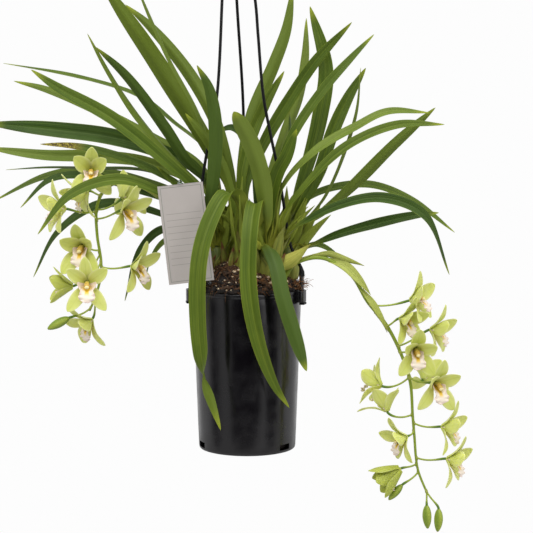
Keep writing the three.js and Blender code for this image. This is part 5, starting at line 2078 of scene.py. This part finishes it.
def around_pot(radius: Numbers, degrees: float, aside: Numbers, z: Numbers) -> np.ndarray:
    """Places round the pot's axis.

    Args:
        radius: how far out each place is.
        degrees: the angle that they lie at.
        aside: how far each is moved across that angle.
        z: its height.

    Returns:
        The places.
    """
    out, left = flat_turn(degrees)
    radius, aside, z = np.broadcast_arrays(radius, aside, z)
    return radius[..., None] * out + aside[..., None] * left + z[..., None] * np.array([0, 0, 1.0])


@dataclass(frozen=True)
class Pot:
    """The tall moulded pot: a tapered shell with a rolled lip, three drain notches and three ears.

    Its ears are pairs of a side and the angle that the ear stands at.
    """

    height: float = 175.0
    top_radius: float = 58.8
    foot_radius: float = 52.4
    wall: float = 1.8
    floor: float = 2.2
    chamfer: float = 2.4
    lip_reach: float = 0.25
    drain_radius: float = 7.0
    notches: tuple[float, ...] = (-39.0, 81.0, 201.0)
    notch_width: float = 16.0
    notch_span: tuple[float, float] = (3.4, 9.6)
    ears: tuple[tuple[str, float], ...] = (("left", 190.0), ("right", -20.0), ("back", 85.0))
    ear_reach: float = 7.4
    ear_width: float = 15.0
    ear_height: float = 12.5
    ear_wall: float = 1.7
    flutes: int = 16
    flute_depth: float = 0.1
    turn_step: float = 2.5
    sharp_over: float = 50.0

    def wall_at(self, z: Numbers) -> Numbers:
        """The shell's outer radius at a height."""
        return self.foot_radius + (self.top_radius - self.foot_radius) * z / self.height

    def inside_at(self, z: Numbers) -> Numbers:
        """The shell's inner radius at a height."""
        return self.wall_at(z) - self.wall

    def profile(self) -> np.ndarray:
        """The shell's outline.

        Returns:
            Radius and height down the inside, over the floor's both faces, up the outside and over the lip.
        """
        low, high = self.notch_span
        lip = self.top_radius + self.lip_reach
        inner = [(self.inside_at(z), z) for z in (self.height - 0.5, 140, 100, 60, 25, high, low, 2.6)]
        outer = [(self.wall_at(z), z) for z in (low, high, 25, 45, 70, 95, 120, 145, 162, 169.5)]
        rows = [
            (self.inside_at(self.height) + 0.15, self.height - 0.12), *inner,
            (self.inside_at(2) - 1.2, self.floor), (self.drain_radius + 0.3, self.floor),
            (self.drain_radius, self.floor - 0.3), (self.drain_radius, 0.3), (self.drain_radius + 0.3, 0),
            (self.foot_radius - self.chamfer, 0), (self.foot_radius - 1.2, 0.35),
            (self.foot_radius - 0.3, 1.3), *outer, (lip - 0.6, 170.6), (lip - 0.05, 171.6), (lip, 172.8),
            (lip, 174.2), (lip - 0.3, 174.8), (lip - 0.9, self.height),
        ]
        return np.array(rows)

    def shell(self) -> Surface:
        """The turned shell, whose profile closes on itself, with the notches cut through its wall.

        Each notch drops the faces between two heights and two angles from the inner and the outer wall,
        and joins the two rims of the hole by four walls. The outside carries shallow upright flutes,
        0.1 mm x cos(16 a) deep.

        Returns:
            The closed shell, with the mark dusty on its lower part.
        """
        rows = self.profile()
        half = math.degrees(math.asin(self.notch_width / 2 / self.foot_radius))
        edges = [n + side * half for n in self.notches for side in (-1, 1)]
        degrees = np.unique(np.round(np.r_[np.arange(-60, 300, self.turn_step), edges], 6))
        turn = np.radians(degrees)[None]
        outside = (rows[:, 0] > self.wall_at(rows[:, 1]) - 0.5) * (rows[:, 1] < 170)
        outside = smooth(10, 30, rows[:, 1]) * outside
        radius = rows[:, :1] + self.flute_depth * outside[:, None] * np.cos(self.flutes * turn)
        grid = lathed(radius, rows[:, 1:], turn)
        number = np.arange(grid.shape[0] * grid.shape[1]).reshape(grid.shape[:2])
        beside, above = np.roll(number, -1, 1), np.roll(number, -1, 0)
        quads = np.stack([number, above, np.roll(above, -1, 1), beside], -1)
        kept = np.ones(number.shape, bool)
        walls = []
        (in_low, out_low), (in_high, out_high) = (np.flatnonzero(rows[:, 1] == z) for z in self.notch_span)
        for notch in self.notches:
            columns = np.flatnonzero(np.abs(degrees - notch) < half + 0.01)[:-1]
            kept[in_high, columns] = kept[out_low, columns] = False
            for j in columns:
                k = (j + 1) % len(degrees)
                for inner, outer, order in ((in_low, out_low, (j, k)), (in_high, out_high, (k, j))):
                    walls.append([*number[inner, order], *number[outer, order[::-1]]])
            for j, order in ((columns[0], 1), ((columns[-1] + 1) % len(degrees), -1)):
                side = [number[in_low, j], number[out_low, j], number[out_high, j], number[in_high, j]]
                walls.append(side[::order])
        faces = np.vstack([quads[kept], np.array(walls)])
        dust = np.repeat(0.2 * smooth(40, 0, rows[:, 1]), len(degrees))
        return Surface(grid.reshape(-1, 3), faces, np.zeros((0, 3), int), {"dusty": dust}).facing_out()

    def ear(self, degrees: float) -> Surface:
        """An ear: a flat bar bent out from the wall, round the strand's clip, and back to the wall.

        Args:
            degrees: the angle that it stands at.

        Returns:
            The closed bar.
        """
        reach = self.top_radius + self.ear_reach - self.ear_wall / 2
        side = (self.ear_width - self.ear_wall) / 2
        half = (
            (self.top_radius - 1.4, side), (reach - 2.6, side), (reach - 0.5, side - 1.4),
            (reach, side - 3.4),
        )
        radius, aside = np.array([*half, (reach + 0.1, 0.0), *((r, -a) for r, a in reversed(half))]).T
        route = Route(around_pot(radius, degrees, aside, self.height - self.ear_height / 2))
        return rounded_bar(route, self.ear_height, self.ear_wall, 0.45, 40, 0, (0, 0, 1)).marked(dusty=0.1)

    def build(self) -> None:
        """Makes the pot."""
        ears = [self.ear(degrees) for _, degrees in self.ears]
        make_piece("pot_shell", [self.shell(), *ears], [POT_PLASTIC], "pot", self.sharp_over)


def swept(route: np.ndarray, radius: np.ndarray, around: int, finish: int, shade: np.ndarray) -> Surface:
    """Many thin tubes at once, each along its own row of places, with pointed ends.

    Args:
        route: tubes by places by x, y, z.
        radius: each tube's radius.
        around: points round each ring.
        finish: the material number.
        shade: each tube's own mark shade.

    Returns:
        All the tubes as one surface of separate closed shells.
    """
    count, places = route.shape[:2]
    along = unit(np.gradient(route, axis=1))
    first = unit(np.cross(along, np.array([0.31, 0.17, 0.93])))
    second = np.cross(along, first)
    turn = ring_angles(around)[:, None]
    narrowing = 1 - 0.7 * np.abs(np.linspace(-1, 1, places)) ** 3
    size = radius[:, None, None, None] * narrowing[None, :, None, None]
    ring = np.cos(turn) * first[:, :, None] + np.sin(turn) * second[:, :, None]
    one = skin(np.zeros((places, around, 3)))
    grid = (route[:, :, None] + size * ring).reshape(count, -1, 3)
    points = np.concatenate([grid, route[:, :1], route[:, -1:]], axis=1)
    return repeated(points, one, finish, shade)


def repeated(points: np.ndarray, one: Surface, finish: int, shade: np.ndarray) -> Surface:
    """Copies of a surface's faces over many sets of points.

    Args:
        points: sets by points by x, y, z.
        one: the surface whose faces are copied.
        finish: the material number.
        shade: each set's own mark shade.

    Returns:
        All the copies as one surface.
    """
    count, size = points.shape[:2]
    start = (np.arange(count) * size)[:, None, None]
    faces = ((part[None] + start).reshape(-1, part.shape[1]) for part in (one.quads, one.triangles))
    return Surface(points.reshape(-1, 3), *faces, {"shade": np.repeat(shade, size)}, finish)


class Grain(IntEnum):
    """What the medium is made of, by its place in MEDIUM_LOOKS."""

    PEAT = 0
    BARK = 1
    PERLITE = 2
    FIBRE = 3


@dataclass(frozen=True)
class Chips:
    """One kind of loose chip.

    Attributes:
        finish: what the chips are made of.
        count: how many there are.
        half: the least and the greatest half length.
        wide: the width as a share of the length.
        thick: the thickness as a share of the length.
        reach: how far out they start and end, as shares of the pot's inside.
        seed: the random seed.
    """

    finish: Grain
    count: int
    half: tuple[float, float]
    wide: float
    thick: float
    reach: tuple[float, float]
    seed: int


@dataclass(frozen=True)
class Medium:
    """The growing medium: a mound of dark fines, covered with bark chips, perlite and root fibre.

    Its heap is the place of a second, smaller mound, its height and its width.
    """

    pot: Pot = Pot()
    edge_z: float = 175.2
    top_z: float = 197.0
    heap: tuple[float, float, float, float] = (-25.0, -25.0, 12.0, 13.0)
    bottom_z: float = 2.8
    gap: float = 0.5
    kinds: tuple[Chips, ...] = (
        Chips(Grain.BARK, 600, (1.0, 4.4), 0.55, 0.4, (0, 1), 21),
        Chips(Grain.PEAT, 300, (0.9, 3.0), 0.7, 0.6, (0.9, 1.1), 23),
        Chips(Grain.BARK, 300, (0.8, 3.0), 0.5, 0.4, (0.72, 1.06), 24),
        Chips(Grain.PERLITE, 460, (0.6, 1.8), 0.9, 0.8, (0.3, 1.06), 22),
    )
    fibre_count: int = 330
    fibre_reach: float = 56.0
    rim_from: float = 54.0
    rim_z: float = 176.2
    drop_from: float = 60.5
    drop_slope: float = 1.6
    fibre_limit: float = 62.3
    tuft_count: int = 60
    chip_rings: int = 5
    chip_around: int = 7
    # how far the shades fall toward the pot's left: painted shade for the shadow there
    left_shade: float = 0.7

    def height_at(self, x: np.ndarray, y: np.ndarray) -> np.ndarray:
        """The mound's height: the edge, plus the rise times 1 - share^2.6, plus a heap h exp(-d^2 / 2 w^2).

        Args:
            x: places to the side.
            y: places to the back.

        Returns:
            The heights there.
        """
        share = np.clip(np.hypot(x, y) / self.pot.inside_at(self.edge_z), 0, 1)
        at_x, at_y, height, wide = self.heap
        heap = height * np.exp(-((x - at_x) ** 2 + (y - at_y) ** 2) / (2 * wide**2))
        return self.edge_z + (self.top_z - self.edge_z) * (1 - share**2.6) + heap

    def mound(self) -> Surface:
        """The body that fills the pot; its top is lumpy by a seeded sum of waves.

        Returns:
            The closed body.
        """
        inner = self.pot.inside_at(self.edge_z) - self.gap
        share = np.linspace(0.02, 1, 46)
        top = np.stack([share * inner, np.full(share.shape, self.top_z)], -1)
        side = [(self.pot.inside_at(z) - self.gap, z) for z in (160, 110, 60, 10)]
        rows = np.vstack([top, side, [(45, self.bottom_z), (5, self.bottom_z)]])
        grid = lathed(rows[:, :1], rows[:, 1:], ring_angles(120)[None])
        x, y, z = np.moveaxis(grid, -1, 0)
        waves = np.random.default_rng(5).uniform(-1, 1, (9, 3)) * np.array([0.55, 0.55, np.pi])
        lumps = sum(np.sin(a * x + b * y + c) for a, b, c in waves) / 3
        grid[..., 2] = np.where(z > 165, self.height_at(x, y) + 1.1 * lumps, z)
        return skin(grid).marked(shade=-0.3)

    def painted_shade_left(self, shade: np.ndarray, x: np.ndarray, most: float | None) -> np.ndarray:
        """Shades lowered toward the pot's left side: painted shade, for the shadow that falls on the medium
        there.
        """
        return np.clip(shade - self.left_shade * smooth(10, -35, x), 0, most)

    def chips(self, kind: Chips) -> Surface:
        """Loose chips on the mound.

        A chip is a squared-off egg: the point at angles a and b is sign(c)|c|^0.6 for each coordinate c of
        the unit sphere, pushed in or out by up to 18 % and scaled by three sizes. It lies about flat.

        Args:
            kind: their numbers.

        Returns:
            All the chips, with the mark shade different for each and lowered toward the left as painted
            shade.
        """
        noise, count = np.random.default_rng(kind.seed), kind.count
        egg = ball(self.chip_rings, self.chip_around, 0.35)
        one = skin(np.sign(egg) * np.abs(egg) ** 0.6)
        shape = one.points[None] * noise.uniform(0.82, 1.18, (count, len(one.points), 1))
        half = noise.uniform(*kind.half, (count, 1, 1))
        shape = shape * half * np.array([1, kind.wide, kind.thick]) * noise.uniform(0.8, 1.2, (count, 1, 3))
        tilt, spin = noise.normal(0, math.radians(16), (count, 2)), noise.uniform(0, 2 * np.pi, count)
        shape = turned_by(turned_by(turned_by(shape, tilt[:, 0], 0), tilt[:, 1], 1), spin, 2)
        radius = self.pot.inside_at(self.edge_z) - 3.0
        least, most = kind.reach
        out = radius * np.sqrt(noise.uniform(least**2, most**2, count))
        angle = noise.uniform(0, 2 * np.pi, count)
        x, y = out * np.cos(angle), out * np.sin(angle)
        place = np.stack([x, y, self.height_at(x, y) + 0.6 + 1.2 * (least > 0.5)], -1)
        # painted shade: the chips are darker toward the pot's left, where shadow falls
        shade = self.painted_shade_left(noise.uniform(-0.2, 1.15, count), x, None)
        return repeated(shape + place[:, None], one, kind.finish, shade)

    def fibres(self) -> Surface:
        """Root fibres: arcs of 8 to 34 mm lying on the mound, some of which hang over the pot's rim.

        Returns:
            All the fibres, with the mark shade different for each and lowered toward the left as painted
            shade.
        """
        noise = np.random.default_rng(9)
        count = self.fibre_count
        share = np.linspace(-1, 1, 9)
        half, spin = noise.uniform(4, 17, (count, 1)), noise.uniform(0, 2 * np.pi, (count, 1))
        bend, lift = noise.uniform(-0.4, 0.4, (count, 1)), noise.uniform(0.3, 3.0, (count, 1))
        out = self.fibre_reach * np.sqrt(noise.uniform(0, 1, (count, 1)))
        angle = noise.uniform(0, 2 * np.pi, (count, 1))
        x = out * np.cos(angle) + half * (share * np.cos(spin) - bend * share**2 * np.sin(spin))
        y = out * np.sin(angle) + half * (share * np.sin(spin) + bend * share**2 * np.cos(spin))
        radius = np.hypot(x, y)
        over = np.clip(radius - self.drop_from, 0, None)
        z = self.height_at(x, y) + 0.8 + lift * (1 - share**2)
        z = np.maximum(z, self.rim_z * (radius > self.rim_from)) - self.drop_slope * over
        squeeze = np.minimum(1, self.fibre_limit / radius)
        route = np.stack([x * squeeze, y * squeeze, z], -1)
        thick = noise.uniform(0.14, 0.36, count)
        # painted shade: the fibres are darker toward the pot's left, where shadow falls
        shade = self.painted_shade_left(noise.uniform(0, 1, count), route[:, 4, 0], 1)
        return swept(route, thick, 5, Grain.FIBRE, shade)

    def tuft(self) -> Surface:
        """Loose roots that stick out over the rim beside the right ear.

        Returns:
            All the roots, with the mark shade different for each.
        """
        noise = np.random.default_rng(14)
        count = self.tuft_count
        share = np.linspace(0, 1, 9)[None, :, None]
        foot = noise.normal((55, -16, 180), (3, 7, 2.5), (count, 1, 3))
        reach = noise.normal((5, -2, 2), (4.5, 4.5, 4), (count, 1, 3))
        curl = noise.normal(0, 3, (count, 1, 3))
        route = foot + reach * share + curl * np.sin(np.pi * share)
        thick = noise.uniform(0.14, 0.3, count)
        return swept(route, thick, 5, Grain.FIBRE, noise.uniform(0, 0.9, count))

    def build(self) -> None:
        """Makes the mound with all that lies on it."""
        parts = [self.mound(), *map(self.chips, self.kinds), self.fibres(), self.tuft()]
        slot = node = "growing_medium"
        make_piece("growing_mix", parts, MEDIUM_LOOKS, node, self.pot.sharp_over)


def turned_by(points: np.ndarray, angle: np.ndarray, axis: int) -> np.ndarray:
    """Turns each set of points by its own angle.

    Args:
        points: sets by points by x, y, z.
        angle: each set's angle.
        axis: 0, 1 or 2, for a turn about x, y or z.

    Returns:
        The turned points.
    """
    first, second = [(1, 2), (2, 0), (0, 1)][axis]
    cos, sin = np.cos(angle)[:, None], np.sin(angle)[:, None]
    turned = points.copy()
    turned[..., first] = cos * points[..., first] - sin * points[..., second]
    turned[..., second] = sin * points[..., first] + cos * points[..., second]
    return turned


# ---------------------------------------------------------------- hanger and label


@dataclass(frozen=True)
class Hanger:
    """Three moulded strands, each clipped through an ear of the pot, and the hook that they meet under.

    Its routes are pairs of a side and the places that the strand passes between its clip and the hub.
    """

    pot: Pot = Pot()
    routes: tuple[tuple[str, tuple[Point, ...]], ...] = (
        ("left", ((-58, -27, 215), (-51, -32, 260), (-46, -30, 300), (-41, -27, 330), (-32, -20, 378),
                  (-26, -10, 483))),
        ("right", ((47, -14, 222), (39, -9, 269), (34, -8, 300), (25.5, -6, 340), (17.5, -4, 383),
                   (12, -1, 447), (9, 0, 483))),
        ("back", ((0, 63, 240), (-3, 62, 300), (-5, 54, 380), (-11, 24, 484))),
    )
    radius: float = 1.6
    root_share: float = 0.03
    root_growth: float = 1.1
    clip_width: float = 9.0
    clip_thick: float = 2.4
    clip_foot: float = 2.4
    clip_rise: float = 18.0
    clip_toe: float = 3.0
    clip_play: float = 1.0
    clip_corner: float = 0.4
    air: float = 0.35
    spread: float = 3.4
    hub: Point = (-17.0, 2.0, 628.0)
    hub_height: float = 9.0
    hub_radius: float = 6.0
    neck: float = 22.0
    inner_radius: float = 12.0
    wire_radius: float = 1.7
    arc: tuple[float, ...] = (205, 180, 150, 120, 90, 60, 30, 0, -25)

    def rod_radius(self, share: np.ndarray) -> np.ndarray:
        """A strand's radius at shares of its length, greater where it grows out of its clip."""
        return self.radius * (1 + self.root_growth * smooth(self.root_share, 0.0, share))

    def strand(self, route: Sequence[Point], degrees: float) -> list[Surface]:
        """A strand: the clip's tongue through the ear, its foot, and the round rod up to the hub.

        Args:
            route: the places that the rod passes.
            degrees: the angle of its ear.

        Returns:
            Its three closed parts.
        """
        pot, thick = self.pot, self.clip_thick
        radius = pot.top_radius + pot.ear_reach - pot.ear_wall - self.clip_play - thick / 2
        under = pot.height - pot.ear_height - self.air
        top = pot.height + self.clip_rise
        _, across = flat_turn(degrees)
        tongue = Route(around_pot(radius, degrees, 0.0, np.linspace(under - self.clip_foot, top, 4)))
        reach = np.linspace(radius - thick / 2, radius + thick / 2 + self.clip_toe, 4)
        foot = Route(around_pot(reach, degrees, 0.0, under - self.clip_foot / 2))
        out, hub = around_pot(self.spread, degrees, 0.0, 0.0), np.array(self.hub)
        ends = [hub + out * 1.6 - np.array([0, 0, 20.0]), hub + out - np.array([0, 0, self.air])]
        rod = Route([*around_pot(radius, degrees, 0.0, np.array([top - 3, top + 4])), *route, *ends])
        parts = [
            rounded_bar(tongue, self.clip_width, thick, self.clip_corner, 12, 0, across),
            rounded_bar(foot, self.clip_width, self.clip_foot, self.clip_corner, 8, 0, across),
            tube(rod, self.rod_radius, 90, 12),
        ]
        return [part.marked(dusty=0.0) for part in parts]

    def hook(self) -> list[Surface]:
        """The hub, a cone with rounded edges, and the wire: a neck and three quarters of a ring.

        Returns:
            The closed hub and the closed wire.
        """
        r, h, at = self.hub_radius, self.hub_height, np.array(self.hub)
        rows = np.array([
            (r * 0.4, 0), (r - 0.5, 0), (r - 0.1, 0.2), (r, 0.7), (r * 0.8, h * 0.5), (r * 0.6, h - 0.8),
            (r * 0.6 - 0.3, h - 0.2), (r * 0.6 - 0.9, h), (1, h),
        ])
        hub = skin(lathed(rows[:, :1], rows[:, 1:], ring_angles(32)[None]) + at)
        ring = self.inner_radius + self.wire_radius
        top = at + np.array([0, 0, h])
        middle = top + np.array([0, 0, self.neck + ring])
        arc = [middle + ring * np.array([math.cos(a), 0, math.sin(a)]) for a in np.radians(self.arc)]
        bend = middle - ring * np.array([0.45, 0, 1.05])
        neck = [top - np.array([0, 0, 2]), top + np.array([0, 0, 8]), bend]
        wire = tube(Route([*neck, *arc]), lambda share: self.wire_radius + 0 * share, 80, 14)
        return [hub.marked(dusty=0.0), wire.marked(dusty=0.0)]

    def build(self) -> None:
        """Makes the three strands and the hook."""
        look, sharp, ears = [HANGER_PLASTIC], self.pot.sharp_over, dict(self.pot.ears)
        for side, route in self.routes:
            strand = self.strand(route, ears[side])
            make_piece(f"strand_{side}", strand, look, f"hanger_strand_{side}", sharp)
        make_piece("hook", self.hook(), look, "hanger_hook", sharp)


@dataclass(frozen=True)
class Label:
    """The blank card that leans in front of the leaves, and the clear strip that it hangs on."""

    width: float = 48.0
    height: float = 105.0
    thick: float = 0.6
    centre: Point = (-64.0, -47.0, 239.0)
    tilt: float = 6.5
    curl: float = 1.2
    air: float = 0.35
    strip_width: float = 3.4
    strip_thick: float = 1.2
    head_size: float = 5.0
    head_depth: float = 4.0
    foot: tuple[Point, ...] = ((-34, -33, 162), (-36.5, -36.5, 178), (-39.5, -41, 186))
    sharp_over: float = 50.0

    def leaning(self) -> tuple[np.ndarray, np.ndarray]:
        """The card's directions up and to the right."""
        cos, sin = math.cos(math.radians(self.tilt)), math.sin(math.radians(self.tilt))
        return np.array([-sin, 0, cos]), np.array([cos, 0, sin])

    def card(self) -> Surface:
        """The card.

        At cross place s and share t of its height it lies forward of flat by
        1.2 mm x (s^2 - 0.15) (0.35 + 0.65 |2 t - 1|), so that its corners curl.

        Returns:
            The closed card, whose marks across and along run over both faces.
        """
        t, s = np.meshgrid(np.linspace(0, 1, 22), np.linspace(-1, 1, 15), indexing="ij")
        up, right = self.leaning()
        back = np.array([0, 1.0, 0])
        curl = -self.curl * (np.abs(s) ** 2 - 0.15) * (0.35 + 0.65 * np.abs(2 * t - 1))
        middle = np.array(self.centre) + ((t - 0.5) * self.height)[..., None] * up
        middle = middle + (s * self.width / 2)[..., None] * right + curl[..., None] * back
        front, rear = middle - back * self.thick / 2, middle + back * self.thick / 2
        grid = np.concatenate([front, rear[:, ::-1]], axis=1)
        marks = {k: np.concatenate([v, v[:, ::-1]], axis=1) for k, v in sheet_marks(t, s).items()}
        return skin(grid, marks)

    def strip(self) -> list[Surface]:
        """The clear strip from the growing medium up the card's back, and its head over the top edge.

        Returns:
            The closed strip and its closed head.
        """
        x, y, z = self.centre
        up, _ = self.leaning()
        behind = y + self.thick / 2 + self.air + self.strip_thick / 2
        above = (self.height + self.head_size - 1) / 2 + self.air
        over = np.array([x, behind, z]) + above * up
        low = np.array([-44, behind + 0.8, 199])
        strip = Route([*self.foot, low, (low + over) / 2, over])
        place = np.array([over[0], behind - 1.6, over[2]])
        head = Route([place + up * share for share in (-2, 0, 2)])
        return [rounded_bar(strip, self.strip_width, self.strip_thick, 0.3, 40),
                rounded_bar(head, self.head_size, self.head_depth, 0.5, 6)]

    def build(self) -> None:
        """Makes the card and the strip."""
        make_piece("label", [self.card()], [CardFinish()], "label_card", self.sharp_over)
        make_piece("strip", self.strip(), [ClearFinish()], "label_stake", self.sharp_over)


# ---------------------------------------------------------------- studio


@dataclass(frozen=True)
class Softbox:
    """A square area light: where it stands, what it looks at, its side, its power and its colour."""

    name: str
    at: Point
    target: Point
    side: float
    watts: float
    colour: Colour = (1.0, 1.0, 1.0)

    def build(self) -> None:
        """Hangs the light; its sizes are in metres and its places in pot millimetres."""
        light = bpy.data.lights.new(self.name, "AREA")
        light.shape, light.size, light.energy, light.color = "SQUARE", self.side, self.watts, self.colour
        hung = bpy.data.objects.new(self.name, light)
        hung.location = Vector(in_frame(np.array(self.at, float)))
        aim = Vector(in_frame(np.array(self.target, float))) - hung.location
        hung.rotation_euler = aim.to_track_quat("-Z", "Y").to_euler()
        bpy.context.scene.collection.objects.link(hung)


@dataclass(frozen=True)
class Studio:
    """A white room: the world's soft glow, two softboxes, a pale floor under the plant and the camera.

    Its panels are patches of the world: their direction, their outer and inner half angle, and their glow.
    """

    target: Point = (21.0, 0.0, 198.0)
    distance: float = 2200.0
    pitch: float = 7.0
    lens: float = 137.58
    sensor: float = 36.0
    clip_end: float = 50.0
    white: Colour = srgb(253, 253, 253)
    front_share: float = 0.015
    back_share: float = 0.8
    top_share: float = 0.9
    floor_drop: float = 1000.0
    floor_thick: float = 10.0
    floor_radius: float = 3200.0
    floor_sides: int = 72
    panels: tuple[tuple[float, ...], ...] = ((-50, 28, 14, 0.7), (36, 18, 8, 1.7), (82, 20, 9, 1.5))
    lights: tuple[Softbox, ...] = (
        Softbox("key", (-700, -1300, 1900), (0, 0, 220), 2.4, 43),
        Softbox("fill", (1200, -1100, 1700), (40, 0, 180), 2.6, 26),
    )

    def glow(self, shader: Shader, direction: Socket) -> Socket:
        """The world's strength: bright behind and above the plant, dim in front, with a few panels.

        Args:
            shader: builds the world's nodes.
            direction: the direction of the ray.

        Returns:
            The strength.
        """
        _, y, z = shader.node("ShaderNodeSeparateXYZ", {0: direction}).outputs
        strength = shader.between(shader.step(y, -0.3, 0.15), self.front_share, self.back_share)
        strength = shader.math("MAXIMUM", strength, shader.times(shader.step(z, 0.3, 0.7), self.top_share))
        for azimuth, outer, inner, glow in self.panels:
            turn = math.radians(azimuth)
            aim = (math.sin(turn), -math.cos(turn), 0.0)
            near = shader.node("ShaderNodeVectorMath", {0: direction, 1: aim}, operation="DOT_PRODUCT")
            ends = math.cos(math.radians(outer)), math.cos(math.radians(inner))
            panel = shader.step(near.outputs["Value"], *ends)
            strength = shader.math("MAXIMUM", strength, shader.times(panel, glow))
        return strength

    def world(self) -> None:
        """Near white to the camera, and the uneven glow to all other rays."""
        world = bpy.data.worlds.new("room")
        bpy.context.scene.world = world
        world.use_nodes = True
        world.node_tree.nodes.clear()
        shader = Shader(world.node_tree)
        path = shader.node("ShaderNodeLightPath").outputs["Is Camera Ray"]
        strength = self.glow(shader, shader.node("ShaderNodeTexCoord").outputs["Generated"])
        dim = shader.node("ShaderNodeBackground", {"Color": (1.0, 1.0, 1.0), "Strength": strength})
        seen = shader.node("ShaderNodeBackground", {"Color": self.white, "Strength": 1.0})
        both = shader.node("ShaderNodeMixShader", {0: path, 1: dim.outputs[0], 2: seen.outputs[0]})
        shader.node("ShaderNodeOutputWorld", {"Surface": both.outputs[0]})

    def floor(self) -> None:
        """A flat pale disc, so far under the hanging pot that the camera's view ends above it."""
        rim = lathed(np.array(self.floor_radius), np.array(0.0), ring_angles(self.floor_sides))
        drops = (self.floor_drop, self.floor_drop + self.floor_thick)
        slab = skin(np.stack([rim - np.array([0, 0, drop]) for drop in drops]))
        mesh = bpy.data.meshes.new("floor")
        mesh.from_pydata(in_frame(slab.points).tolist(), [], [*slab.quads.tolist(), *slab.triangles.tolist()])
        mesh.materials.append(FloorFinish().build())
        disc = bpy.data.objects.new("floor", mesh)
        bpy.context.scene.collection.objects.link(disc)

    def camera(self) -> None:
        """The camera of the photograph: a long lens, a little above the plant's middle."""
        pitch = math.radians(self.pitch)
        back = np.array([0, -math.cos(pitch), math.sin(pitch)])
        lens = bpy.data.cameras.new("camera")
        lens.lens, lens.sensor_width, lens.clip_end = self.lens, self.sensor, self.clip_end
        seen_from = bpy.data.objects.new("camera", lens)
        seen_from.location = Vector(in_frame(np.array(self.target) + self.distance * back))
        seen_from.rotation_euler = Vector(-back).to_track_quat("-Z", "Y").to_euler()
        bpy.context.scene.collection.objects.link(seen_from)
        bpy.context.scene.camera = seen_from

    def build(self) -> None:
        """Sets up the room."""
        self.world()
        self.floor()
        for softbox in self.lights:
            softbox.build()
        self.camera()
        bpy.context.scene.view_settings.view_transform = "Standard"


def main() -> None:
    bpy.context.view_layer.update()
    for part in (Pot(), Medium(), *SHOOTS, *SPRAYS, Hanger(), Label(), Studio()):
        part.build()


if __name__ == "__main__":
    logging.basicConfig(level=logging.INFO, format="%(name)s %(message)s")
    main()
